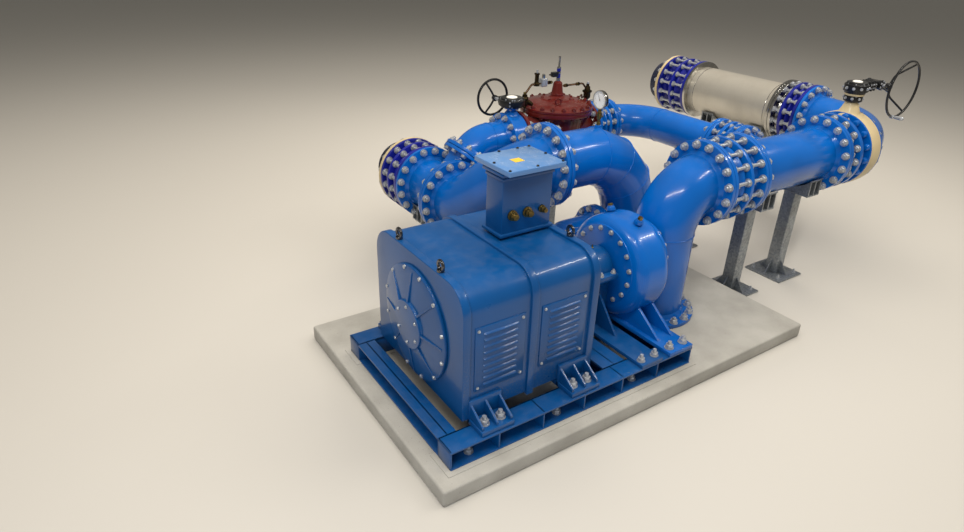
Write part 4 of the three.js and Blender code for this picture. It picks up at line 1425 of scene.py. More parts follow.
@dataclass
class Header:
    """Header that feeds the turbine: elbow with its leg and side branch, and the tee."""

    leg_x: float = 0.692
    elbow_x: float = 0.98
    port_x: float = 0.4683
    port_bolts: int = 16
    tee_left: float = 1.3303
    tee_right: float = 2.33
    tee_x: float = 1.85
    branch_end: float = 0.3097

    def build(self) -> None:
        """Builds the elbow and the tee."""
        self.elbow()
        left, right, root = (Vector((x, 0, PIPE_Z)) for x in (self.tee_left, self.tee_right, self.tee_x))
        branched_pipe("header_tee_pipe", "header_tee", left, right, root, Axis.Y.vector, self.branch_end,
            THREAD)

    def elbow(self) -> None:
        """Builds the elbow on its leg, with the branch into the turbine's cover."""
        foot = corners("header_elbow")[0].z
        bend = self.elbow_x - self.leg_x - 0.001
        route = [(self.leg_x, 0, foot), (self.leg_x, 0, PIPE_Z), (self.elbow_x, 0, PIPE_Z)]
        piece = Piece("header_elbow_pipe")
        piece.put(swept(route, MAIN.pipe, bend, MAIN.sides, 24), AZURE)
        weld(piece, AZURE, (self.leg_x, 0, PIPE_Z - bend), (0, 0, 1), MAIN.pipe)
        Flange(MAIN, route[0], (0, 0, -1)).fit(piece, FOOT_THREAD)
        Flange(MAIN, route[2], (1, 0, 0)).fit(piece)
        port = laid((self.port_x, 0, SHAFT_Z), (1, 0, 0))
        radius, neck = corners("turbine_cover")[1].y, BYPASS.pipe + 0.01
        piece.put(turned([(0, radius), (BYPASS.thick, radius), (BYPASS.thick, neck + 0.01),
            (BYPASS.thick + 0.02, neck), (self.leg_x - self.port_x, neck)], 96, 0.003), AZURE, port)
        piece.put(bolt(0.02, 0.01), ZINC, *ring(port, self.port_bolts, radius - 0.03, BYPASS.thick))
        piece.finish("header_elbow")


@dataclass
class InletLine:
    """Inlet line: light-blue bend and stainless spool."""

    x: float = 3.37
    bend: float = 0.615
    start_x: float = 2.7203
    bend_end: float = 0.6947
    spool_radius: float = 0.238

    def build(self) -> None:
        """Builds the bend, and the spool with its loose backing flanges and weld seams."""
        route = [(self.start_x, 0, PIPE_Z), (self.x, 0, PIPE_Z), (self.x, self.bend_end, PIPE_Z)]
        flanged_pipe("inlet_bend", MAIN, route, self.bend, 28)
        span = Span.of("stainless_spool", Axis.Y)
        piece = Piece("stainless_spool_pipe")
        barrel = [(MAIN.thick, self.spool_radius), (span.length - MAIN.thick, self.spool_radius)]
        piece.put(turned(barrel, MAIN.sides, 0.001), STAINLESS, span.base)
        for end, facing in ((span.start, -1), (span.end, 1)):
            Flange(MAIN, span.at(end), (0, facing, 0)).put_on(piece, TURNED_STEEL)
        for share in (0.09, 0.91):
            weld(piece, TURNED_STEEL, span.at(span.start + span.length * share), (0, 1, 0),
                self.spool_radius - 0.001)
        piece.finish("stainless_spool")


@dataclass
class WallPipe:
    """Flanged pipe that goes on through the wall, cut where it enters."""

    node: str
    bore: float = 0.194

    def build(self) -> None:
        """Builds the pipe with its pale flange and open end."""
        span = Span.of(self.node, Axis.Y)
        piece = Piece(self.node + "_stub")
        flange = [(RAISED, MAIN.flange), (MAIN.thick, MAIN.flange), (MAIN.thick, self.bore),
            (0.0, self.bore), (0.0, MAIN.face), (RAISED, MAIN.face)]
        piece.put(turned(flange, MAIN.sides, hollow=True), CREAM, span.base)
        root = MAIN.thick - 0.001
        barrel = [(root, MAIN.pipe), (span.length, MAIN.pipe), (span.length, self.bore), (root, self.bore)]
        piece.put(turned(barrel, MAIN.sides, hollow=True), WALL_IRON, span.base)
        piece.put(bolt(MAIN.bolt, 0.014), ZINC, *ring(span.base, MAIN.bolts, MAIN.pitch, MAIN.thick))
        piece.finish(self.node)


@dataclass
class WormGearbox:
    """Quadrant gearbox on a butterfly valve, with a worm shaft to one side."""

    node: str
    side: int
    offset: float
    reach: float
    scale: float
    bolts: int = 8
    drum: float = 0.088
    arm: float = 0.038
    worm: float = 0.062
    spindle: float = 0.013
    drum_bolts: int = 10

    def build(self) -> None:
        """Builds the gearbox with its cover, worm housing and fasteners."""
        low, high = corners(self.node)
        body, half, near = self.drum * self.scale, self.arm * self.scale, self.worm * self.scale
        stem_x = low.x + body if self.offset > 0 else high.x - body
        y = high.y - self.reach if self.side > 0 else low.y + self.reach
        height = high.z - low.z
        worm_x, middle = stem_x + self.offset, low.z + height / 2
        base = shift((stem_x, y, low.z))
        piece = Piece(self.node + "_casting")
        piece.put(turned([(0, body * 0.86), (height * 0.16, body * 0.86), (height * 0.18, body),
            (height * 0.8, body), (height * 0.82, body * 0.9), (height, body * 0.84)], 56, 0.003), BLACK,
            base)
        piece.put(bolt(0.009 * self.scale + 0.002), ZINC,
            *ring(base, self.bolts, body * 0.78, height * 0.82))
        piece.put(turned([(0, body * 0.42), (0.006, body * 0.4), (0.01, body * 0.3)], 40, 0.002), DIAL,
            base @ shift((0, 0, height - 0.002)))
        piece.put(block((stem_x, y - half, low.z + 0.012), (worm_x, y + half, high.z - 0.012), 0.008, 3),
            BLACK)
        radius = height * 0.46
        end = [(-near - 0.004, radius * 0.6), (-near, radius * 0.62), (-near + 0.002, radius),
            (-near + 0.014, radius), (-near + 0.016, radius * 0.9)]
        housing = end + [(-place, reach) for place, reach in reversed(end)]
        piece.put(turned(housing, 48, 0.001), BLACK, laid((worm_x, y, middle), (0, self.side, 0)))
        for facing in (-1, 1):
            cap = laid((worm_x, y + facing * near, middle), (0, facing, 0))
            piece.put(bolt(0.007), ZINC, *ring(cap, 6, radius * 0.8))
        if self.offset > 0:
            self.arm_details(piece, Vector((stem_x, y, middle)), worm_x, height / 2)
        spindle = turned([(0, self.spindle), (self.reach - 0.0005, self.spindle)], 32, 0.001)
        piece.put(spindle, ZINC, laid((worm_x, y, middle), (0, self.side, 0)))
        piece.finish(self.node)

    def arm_details(self, piece: Piece, centre: Vector, worm_x: float, tall: float) -> None:
        """Adds the bolts round the drum and the ribs and covers of the long arm.

        Args:
            piece: Piece that gets them.
            centre: Middle of the drum.
            worm_x: Place of the worm along X.
            tall: Half of the drum's height.
        """
        piece.put(bolt(0.011), ZINC,
            *ring(shift(centre), self.drum_bolts, self.drum * self.scale - 0.001, outward=True))
        half = self.arm * self.scale
        reach = Vector((0.008, half + 0.008, tall - 0.004))
        for share in (0.42, 0.58, 0.74):
            spot = Vector((centre.x + (worm_x - centre.x) * share, centre.y, centre.z))
            piece.put(block(spot - reach, spot + reach, 0.003), BLACK)
        for share in (0.5, 0.66):
            x = centre.x + (worm_x - centre.x) * share
            cover = laid((x, centre.y - half, centre.z), (0, -1, 0))
            piece.put(turned([(0, 0.024), (0.012, 0.024), (0.014, 0.012), (0.02, 0.012)], 32, 0.002), BLACK,
                cover)
            piece.put(bolt(0.006), ZINC, *ring(cover, 4, 0.018, 0.012))


@dataclass
class Handwheel:
    """Dished cast handwheel with three spokes, about an axis along Y."""

    node: str
    body: str
    side: int
    radius: float
    bar: float
    dish: float
    hub: float
    first: float
    grip: bool = False
    hub_length: float = 0.034
    spokes: int = 3
    grip_turn: float = 0.55

    def build(self) -> None:
        """Builds the rim, the spokes and the hub, and a crank grip where there is one."""
        joint = next(joint for joint in frame["joints"] if joint["child"] == self.body)
        centre, lift = Vector(joint["pos_m"]), Vector((0, self.side, 0))
        piece = Piece(self.node + "_casting")
        base, rim, length = laid(centre, lift), centre + lift * self.dish, self.hub_length
        piece.put(bead(self.radius, self.bar, 96), BLACK, laid(rim, (0, 1, 0)))
        hub = [(0, self.hub), (length * 0.7, self.hub), (length, self.hub * 0.72)]
        piece.put(turned(hub, 40, 0.003), BLACK, base)
        piece.put(hexagon(0.022, length, length + 0.012), ZINC, base)
        for k in range(self.spokes):
            out = self.outward(TURN * k / self.spokes)
            route = [centre + out * 0.01 + lift * length * 0.5,
                centre + out * self.radius * 0.45 + lift * length * 0.65, rim + out * self.radius]
            piece.put(swept(route, self.bar * 0.82, 0.06, 16, 6), BLACK)
        if self.grip:
            handle = turned([(-0.012, 0.014), (0.012, 0.014), (0.014, 0.009), (0.03, 0.013), (0.075, 0.015),
                (0.088, 0.009)], 24, 0.002)
            piece.put(handle, ZINC, laid(rim + self.outward(TURN * self.grip_turn) * self.radius, lift))
        piece.finish(self.node, body=self.body)

    def outward(self, turn: float) -> Vector:
        """Direction from the axis at a turn past the first spoke."""
        return Vector((cos(self.first + turn), 0, sin(self.first + turn)))


@dataclass
class ButterflyValve:
    """Wafer valve between two flanges, with a tapered neck up to its gearbox."""

    node: str
    rim: float
    finish: Finish
    ease: float
    stem: float
    pad: float
    bracket: float = 0.0
    pad_thick: float = 0.016
    boss: float = 0.034

    def build(self) -> None:
        """Builds the ring, the neck, the lower boss, the mounting pad and the bracket's drum."""
        low, high = corners(self.node)
        middle = Vector(((low.x + high.x) / 2, (low.y + high.y) / 2, low.z + self.rim))
        width, top, base = high.x - low.x, high.z - middle.z, shift(middle)
        piece = Piece(self.node + "_body")
        piece.put(turned([(0, self.rim), (width, self.rim)], 96, self.ease), self.finish,
            laid((low.x, middle.y, middle.z), (1, 0, 0)))
        seat = top - self.pad_thick
        neck = [(self.rim - 0.05, width * 0.72), (self.rim, width * 0.52),
            (self.rim + (top - self.rim) * 0.55, self.stem), (seat - 0.002, self.stem), (seat, self.pad),
            (top, self.pad)]
        piece.put(turned(neck, 48, 0.006), self.finish, base)
        piece.put(bolt(0.012), ZINC, *[place @ FLIPPED for place in ring(base, 4, self.pad * 0.8, seat)])
        piece.put(turned([(0, self.boss), (0.012, self.boss)], 32, 0.003), self.finish,
            laid(middle - Vector((0, 0, self.rim - 0.003)), (0, 0, -1)))
        if self.bracket:
            radius, foot = self.pad * 0.94, top - self.bracket
            piece.put(turned([(foot, self.stem + 0.006), (foot + 0.012, radius), (seat - 0.001, radius)], 48,
                0.003), BLACK, base)
            piece.put(bolt(0.010), ZINC, *ring(base, 8, radius - 0.001, top - self.bracket / 2, True))
        piece.finish(self.node)


@dataclass
class ControlValve:
    """Diaphragm control valve: cast globe body, bolted rim, stepped cover, indicator and pilots."""

    x: float = 0.925
    y: float = 1.49
    z: float = PIPE_Z
    left: float = 0.4
    right: float = 0.34
    body: float = 0.185
    rim: float = 0.3
    rim_z: float = 0.168
    rim_thick: float = 0.026
    rim_step: float = 0.024
    cover_top: float = 0.29
    rim_bolts: int = 20
    tube: float = 0.008
    pilot_reach: float = 0.33
    filter_seat: float = 0.1567
    filter_top: float = 0.4
    pilot_seat: float = 0.2034
    pilot_top: float = 0.36

    def at(self, x: float, y: float, z: float) -> Vector:
        """Place measured from the valve's middle on the pipe's centre line."""
        return Vector((self.x + x, self.y + y, self.z + z))

    def build(self) -> None:
        """Builds the body, the cover, the indicator and both pilots."""
        self.body_casting()
        self.cover()
        self.indicator()
        self.filter()
        self.pilot()

    def body_casting(self) -> None:
        """Builds the globe body with its end flanges, seat ribs and lower rim."""
        piece = Piece("control_valve_globe_body")
        neck, centre = BYPASS.pipe + 0.01, self.at(0, 0, 0)
        barrel = [(-self.left + BYPASS.thick - 0.002, neck), (-self.left + 0.15, self.body - 0.02),
            (-0.12, self.body), (0.12, self.body), (self.right - 0.13, self.body - 0.02),
            (self.right - BYPASS.thick + 0.002, neck)]
        piece.put(turned(barrel, 96, 0.04), MAROON, laid(centre, (1, 0, 0)))
        for face, facing in ((-self.left, -1), (self.right, 1)):
            Flange(BYPASS, self.at(face, 0, 0), (facing, 0, 0)).fit(piece, 0.014, MAROON)
        under = self.rim_z - 0.008
        bowl = [(-0.06, 0.2), (0.02, 0.222), (0.1, 0.236), (self.rim_z - 0.02, 0.246),
            (self.rim_z - 0.01, 0.26), (under, self.rim), (self.rim_z + self.rim_thick, self.rim)]
        piece.put(turned(bowl, 112, 0.006), MAROON, shift(centre))
        rib = prism([(0.2, -0.02), (0.285, under), (0.2, under)], 0.014, 0.003)
        piece.put(rib, MAROON, *[shift(centre) @ spun(turn * pi) @ stood(0.014)
            for turn in (0.25, 0.75, 1.25, 1.75)])
        seat = shift(self.at(0, 0, under)) @ FLIPPED
        piece.put(bolt(0.02), MAROON, *ring(seat, self.rim_bolts, self.rim - self.rim_step))
        piece.finish("control_valve_body")

    def cover(self) -> None:
        """Builds the stepped, domed cover with its ring of bolts and lifting eyes."""
        low = self.rim_z + self.rim_thick + PLAY
        base = shift(self.at(0, 0, 0))
        piece = Piece("control_valve_domed_cover")
        profile = [(low, self.rim), (low + 0.024, self.rim), (low + 0.034, 0.256), (low + 0.05, 0.236),
            (low + 0.058, 0.2), (low + 0.068, 0.15), (low + 0.072, 0.142), (low + 0.08, 0.135),
            (self.cover_top - 0.014, 0.108), (self.cover_top - 0.01, 0.066), (self.cover_top, 0.06)]
        piece.put(turned(profile, 112, 0.006), MAROON, base)
        piece.put(bolt(0.02, 0.008), MAROON, *ring(base, self.rim_bolts, self.rim - self.rim_step,
            low + 0.024))
        piece.put(bolt(0.012), MAROON, *ring(base, 8, 0.122, low + 0.08))
        for turn in (1.3 * pi, 0.3 * pi):
            spot = self.at(0.19 * cos(turn), 0.19 * sin(turn), low + 0.086)
            piece.put(bead(0.024, 0.006, 24), MAROON, laid(spot, (0.3, 1, 0)))
        piece.finish("control_valve_cover")

    def indicator(self) -> None:
        """Builds the cone, the sight tube with its rod and the switch clamped to it."""
        base = self.at(0, 0, self.cover_top + PLAY)
        place = shift(base)
        piece = Piece("valve_position_indicator")
        cone = [(0, 0.052), (0.014, 0.052), (0.016, 0.049), (0.03, 0.046), (0.098, 0.036), (0.106, 0.033),
            (0.11, 0.024), (0.116, 0.02)]
        piece.put(turned(cone, 56, 0.002), MAROON, place)
        piece.put(bolt(0.01), MAROON, *ring(place, 4, 0.045, 0.014))
        tube = [(0.112, 0.018), (0.136, 0.017), (0.138, 0.012), (0.172, 0.012), (0.174, 0.018),
            (0.186, 0.018), (0.188, 0.012), (0.212, 0.012), (0.214, 0.017), (0.224, 0.017), (0.226, 0.008),
            (0.290, 0.008), (0.292, 0.0095), (0.308, 0.0095)]
        piece.put(turned(tube, 32, 0.001), TURNED_STEEL, place)
        for low in (0.14, 0.19):
            piece.put(turned([(low, 0.0165), (low + 0.03, 0.0165)], 32, 0.002), ROYAL_BLUE, place)
        piece.put(block((-0.07, -0.018, 0.150), (-0.012, 0.018, 0.188), 0.004), BLACK, place)
        piece.put(turned([(0, 0.008), (0.02, 0.008), (0.021, 0.005), (0.034, 0.005)], 16, 0.0005), RUBBER,
            laid(base + Vector((-0.062, 0, 0.17)), (-1, 0, 0)))
        piece.finish("position_indicator")

    def filter(self) -> None:
        """Builds the strainer, the needle valve and the copper loop on the upstream side."""
        piece = Piece("pilot_strainer_and_loop")
        side, top = -self.pilot_reach, self.filter_top
        route = [self.at(side, 0, self.filter_seat), self.at(side, 0, self.pilot_reach),
            self.at(side + 0.06, 0, top), self.at(-0.06, 0, top)]
        piece.put(swept(route, self.tube, 0.03, 14, 8), COPPER)
        self.fittings(piece, [(route[0], (0, 0, 1)), (self.at(side, 0, 0.225), (0, 0, 1)),
            (self.at(side, 0, 0.315), (0, 0, 1)), (self.at(-0.1, 0, top), (1, 0, 0))])
        body = turned([(0, 0.018), (0.01, 0.026), (0.06, 0.028), (0.075, 0.02), (0.088, 0.02)], 32, 0.003)
        piece.put(body, DARK_BRONZE, laid(self.at(side, 0, 0.24), (0, 0, 1)))
        bowl = turned([(0, 0.02), (0.06, 0.018), (0.075, 0.012)], 28, 0.003)
        piece.put(bowl, DARK_BRONZE, laid(self.at(side, 0, 0.285), (0.75, -0.4, -0.5)))
        needle = shift(self.at(side + 0.11, 0, top - 0.015))
        cap = turned([(0, 0.024), (0.02, 0.024), (0.03, 0.017), (0.085, 0.016), (0.09, 0.022), (0.1, 0.022)],
            32, 0.002)
        piece.put(cap, DARK_BRONZE, needle)
        piece.put(turned([(0.1, 0.008), (0.125, 0.007)], 16, 0.001), ZINC, needle)
        solenoid = block(self.at(side + 0.15, -0.024, 0.375), self.at(side + 0.205, 0.024, 0.44), 0.006, 3)
        piece.put(solenoid, ZINC)
        piece.put(turned([(0, 0.013), (0.03, 0.013), (0.034, 0.009)], 24, 0.001), TURNED_STEEL,
            laid(self.at(side + 0.178, 0, 0.438), (0, 0, 1)))
        piece.finish("pilot_filter")

    def pilot(self) -> None:
        """Builds the pressure pilot with its spring chamber and tubes on the downstream side."""
        piece = Piece("pilot_regulator_and_loop")
        side, top = self.pilot_reach, self.pilot_top
        route = [self.at(side, 0, self.pilot_seat), self.at(side, 0, 0.3), self.at(side - 0.06, 0, top),
            self.at(0.06, 0, top)]
        piece.put(swept(route, self.tube, 0.03, 14, 8), COPPER)
        self.fittings(piece, [(route[0], (0, 0, 1)), (self.at(side, 0, 0.222), (0, 0, 1)),
            (self.at(0.1, 0, top), (-1, 0, 0)), (self.at(side - 0.1, 0, top), (-1, 0, 0))])
        chamber = shift(self.at(side, 0, 0.228))
        piece.put(turned([(0, 0.02), (0.012, 0.03), (0.05, 0.03), (0.056, 0.04), (0.068, 0.04),
            (0.072, 0.026), (0.1, 0.022), (0.104, 0.014), (0.125, 0.012)], 36, 0.002), DARK_BRONZE, chamber)
        piece.put(hexagon(0.018, 0.12, 0.14), ZINC, chamber)
        loop = [self.at(side - 0.03, -0.01, 0.26), self.at(side - 0.1, -0.05, 0.25),
            self.at(side - 0.14, -0.09, 0.31), self.at(0.16, -0.09, 0.26)]
        piece.put(swept(loop, 0.006, 0.025, 12, 6), COPPER)
        piece.finish("pilot_valve")

    def fittings(self, piece: Piece, spots: list[tuple[Spot, Place]]) -> None:
        """Adds compression fittings along a tube.

        Args:
            piece: Piece that gets them.
            spots: Places and directions of the fittings.
        """
        for at, facing in spots:
            base = laid(at, facing)
            piece.put(hexagon(0.026, 0.0, 0.014), DARK_BRONZE, base)
            piece.put(hexagon(0.023, 0.018, 0.032), BRONZE, base)


@dataclass
class BypassLine:
    """Light-blue bend and drop pipe of the bypass."""

    y: float = 1.49
    corner_x: float = 1.85
    bend: float = 0.335
    start_x: float = 1.4803
    bend_end: float = 0.5403
    drop_corner: float = 0.15
    drop_bend: float = 0.22
    outlet_x: float = -0.15
    outlet_z: float = 0.65
    branch: float = 0.33

    def slope(self) -> Vector:
        """Direction from the outlet pipe up to the bypass."""
        return Vector((self.drop_corner - self.outlet_x, 0, PIPE_Z - self.outlet_z)).normalized()

    def build(self) -> None:
        """Builds the bend and the drop pipe."""
        route = [(self.start_x, self.y, PIPE_Z), (self.corner_x, self.y, PIPE_Z),
            (self.corner_x, self.bend_end, PIPE_Z)]
        flanged_pipe("bypass_bend", BYPASS, route, self.bend)
        start = corners("bypass_valve")[0].x - PLAY
        end = Vector((self.outlet_x, self.y, self.outlet_z)) + self.slope() * (self.branch + PLAY)
        drop = [(start, self.y, PIPE_Z), (self.drop_corner, self.y, PIPE_Z), end]
        flanged_pipe("bypass_drop_pipe", BYPASS, drop, self.drop_bend)


@dataclass
class OutletLine:
    """Riser, descending bend and straight outlet pipe with its bypass branch."""

    riser_x: float = 1.05
    riser_y: float = 0.69
    riser_z: float = 1.05
    bend: float = 0.55
    mitres: int = 4
    left_end: float = 0.185
    link_x: float = 0.73
    link_z: float = 0.43
    x: float = -0.15
    z: float = 0.65
    near: float = 1.35
    corner_x: float = -0.01
    foot_y: float = 1.2
    descent_bend: float = 0.22
    gauge_x: float = 0.65
    bypass: BypassLine = field(default_factory=BypassLine)

    def build(self) -> None:
        """Builds the riser, the bend that turns down towards the wall and the straight pipe."""
        self.riser()
        descent = [(self.left_end - PLAY, self.riser_y, self.riser_z),
            (self.corner_x, self.riser_y, self.riser_z), (self.x, self.foot_y, self.z),
            (self.x, self.near - PLAY, self.z)]
        flanged_pipe("outlet_bend", MAIN, descent, self.descent_bend, welded=False)
        end = corners("outlet_wall_joint")[0].y - PLAY
        start, end, root = (Vector((self.x, y, self.z)) for y in (self.near, end, self.bypass.y))
        branched_pipe("outlet_straight_pipe", "outlet_pipe", start, end, root, self.bypass.slope(),
            self.bypass.branch, 0.0)

    def riser(self) -> None:
        """Builds the riser with its mitred bend, side inlet and gauge boss."""
        foot = Vector((self.riser_x, self.riser_y, corners("riser_bend")[0].z))
        end = Vector((self.left_end, self.riser_y, self.riser_z))
        centre = Vector((self.riser_x - self.bend, self.riser_y, self.riser_z - self.bend))
        widened = 1 / cos(pi / 4 / self.mitres)
        turns = [QUARTER * (k + 0.5) / self.mitres for k in range(self.mitres)]
        outs = [Vector((cos(a), 0, sin(a))) for a in turns]
        seams = [centre + out * self.bend * widened for out in outs]
        piece = Piece("riser_bend_pipe")
        piece.put(swept([foot, *seams, end], MAIN.pipe, 0.0, MAIN.sides), AZURE)
        for seam, out in zip(seams, outs):
            lie = Matrix.Scale(widened, 4, out) @ laid((0, 0, 0), (-out.z, 0, out.x))
            piece.put(bead(MAIN.pipe, WELD, 80), AZURE, shift(seam) @ lie)
        Flange(MAIN, foot, (0, 0, -1)).fit(piece, FOOT_THREAD)
        Flange(MAIN, end, (-1, 0, 0)).fit(piece)
        inlet = (self.link_x, self.riser_y, self.link_z)
        stub = [(BYPASS.thick, BYPASS.pipe), (self.riser_x - self.link_x, BYPASS.pipe)]
        piece.put(turned(stub, BYPASS.sides, 0.001), AZURE, laid(inlet, (1, 0, 0)))
        Flange(BYPASS, inlet, (-1, 0, 0)).fit(piece, 0.0)
        boss = turned([(0, 0.034), (0.012, 0.03), (0.018, 0.024), (0.036, 0.024)], 40, 0.002)
        piece.put(boss, AZURE, shift((self.gauge_x, self.riser_y, self.riser_z + MAIN.pipe - 0.018)))
        piece.finish("riser_bend")


@dataclass
class PressureGauge:
    """Dial gauge on its bronze cock, facing the generator."""

    x: float = 0.65
    y: float = 0.69
    z: float = 1.45
    dial: float = 0.065
    depth: float = 0.034
    seat: float = 1.2713
    ticks: int = 25
    sweep: float = 270.0
    hand: float = 0.4

    def build(self) -> None:
        """Builds the cock and the gauge."""
        self.cock()
        self.gauge()

    def cock(self) -> None:
        """Builds the cock with its lever and unions."""
        piece = Piece("gauge_bronze_cock")
        base = shift((self.x, self.y, self.seat))
        top = self.z - self.dial - 0.01 - self.seat
        piece.put(turned([(0, 0.013), (0.02, 0.013), (0.022, 0.009), (0.04, 0.009), (0.044, 0.016),
            (0.09, 0.017), (0.094, 0.009), (top, 0.009)], 32, 0.002), BRONZE, base)
        for low in (0.0, 0.1, top - 0.016):
            piece.put(hexagon(0.024, low, low + 0.014), BRONZE, base)
        piece.put(turned([(-0.02, 0.01), (0.028, 0.01), (0.03, 0.006), (0.036, 0.006)], 24, 0.001), BRONZE,
            laid((self.x, self.y, self.seat + 0.068), (0, -1, 0)))
        lever = block((-0.006, -0.036, 0.0), (0.006, -0.032, 0.07), 0.0015)
        piece.put(lever, ZINC, shift((self.x, self.y, self.seat + 0.066)))
        piece.finish("gauge_cock")

    def gauge(self) -> None:
        """Builds the case, the bezel, the dial with its ticks and the pointer."""
        piece = Piece("pressure_gauge_case")
        dial, half = self.dial, self.depth / 2
        face, back = (laid((self.x + step, self.y, self.z), (-1, 0, 0)) for step in (-half, half))
        case = [(0, dial - 0.006), (0.006, dial - 0.002), (self.depth - 0.012, dial - 0.002)]
        piece.put(turned(case, 64, 0.002), BLACK, back)
        bezel = [(-0.012, dial), (0.0, dial), (0.0, dial - 0.005), (-0.006, dial - 0.006),
            (-0.012, dial - 0.006)]
        piece.put(turned(bezel, 64, hollow=True), TURNED_STEEL, face)
        piece.put(turned([(-0.01, dial - 0.006), (-0.006, dial - 0.006)], 64, 0), DIAL, face)
        start, sweep = radians(90 + self.sweep / 2), radians(self.sweep)
        for k in range(self.ticks):
            inner = dial * (0.7 if k % 4 else 0.62)
            tick = block((inner, -0.0006, -0.006), (dial * 0.8, 0.0006, -0.0054), 0)
            piece.put(tick, DIAL_INK, face @ spun(start - sweep * k / (self.ticks - 1)))
        hand = [(-0.01, -0.0016), (dial * 0.7, -0.0004), (dial * 0.7, 0.0004), (-0.01, 0.0016)]
        piece.put(prism(hand, 0.001, 0), DIAL_INK, face @ spun(start - sweep * self.hand)
            @ shift((0, 0, -0.004)))
        piece.put(turned([(-0.006, 0.004), (-0.002, 0.003)], 20, 0.0005), BRONZE, face)
        piece.put(turned([(0, 0.009), (0.022, 0.009)], 20, 0.001), BRONZE,
            shift((self.x, self.y, self.z - dial - 0.0097)))
        piece.finish("pressure_gauge")


@dataclass
class PipeStand:
    """Galvanised stand: foot plate, square post, saddle with gussets and anchors."""

    name: str
    axis: Axis
    radius: float
    plate: float = 0.014
    post: float = 0.05
    anchor: float = 0.016
    gusset: float = 0.008
    upright: float = 0.012
    saddle_half: float = 0.075

    def build(self) -> None:
        """Builds the stand."""
        node = f"stand_{self.name}"
        low, high = corners(node)
        middle, floor = (low + high) / 2, self.plate
        pipe_z = high.z + self.radius * 0.55
        piece = Piece(node + "_weldment")
        piece.put(block((low.x, low.y, 0), (high.x, high.y, floor), 0.002), GALVANISED)
        piece.put(block((middle.x - self.post, middle.y - self.post, floor - 0.001),
            (middle.x + self.post, middle.y + self.post, pipe_z - self.radius - 0.05), 0.006, 3), GALVANISED)
        foot, inner = shift((middle.x, middle.y, 0)), self.post - 0.002
        gusset = prism([(inner, floor), (self.post + 0.075, floor), (inner, floor + 0.11)], self.gusset,
            0.001)
        piece.put(gusset, GALVANISED, *[foot @ spun(QUARTER * turn) @ stood(self.gusset)
            for turn in range(4)])
        reach_x, reach_y = (high.x - low.x) / 2 - 0.045, (high.y - low.y) / 2 - 0.045
        piece.put(bolt(self.anchor, 0.016), ZINC, *[foot @ shift((x * reach_x, y * reach_y, floor))
            for x in (-1, 1) for y in (-1, 1)])
        self.saddle(piece, shift((middle.x, middle.y, pipe_z)))
        piece.finish(node)

    def saddle(self, piece: Piece, base: Matrix) -> None:
        """Adds the saddle: a curved wear plate on upright plates.

        Args:
            piece: Piece that gets it.
            base: Place on the pipe's centre line.
        """
        reach, low, inner = self.radius * 0.8, -self.radius - 0.06, self.radius + 0.004
        half = self.saddle_half
        angle = asin(reach / (inner + 0.002))
        steps = 14
        turns = [-angle + 2 * angle * k / steps for k in range(steps + 1)]
        arc = [(inner * sin(a), -inner * cos(a)) for a in turns]
        along_x = self.axis is Axis.X
        lie = ACROSS if along_x else Matrix.Rotation(QUARTER, 4, "X")
        plate = prism([(-reach, low), (reach, low), *reversed(arc)], self.upright, 0.001)
        piece.put(plate, GALVANISED, *[base @ lie @ shift((0, 0, along))
            for along in (-0.072, -0.006, 0.06)])
        outer = [(x * (inner + 0.008) / inner, z * (inner + 0.008) / inner) for x, z in arc]
        piece.put(prism([*outer, *reversed(arc)], 2 * half, 0), GALVANISED, base @ lie
            @ shift((0, 0, -half)))
        piece.put(block((-reach, -half, low - 0.002), (reach, half, low + 0.01), 0.002), GALVANISED,
            base @ spun(QUARTER if along_x else 0))


# Stage


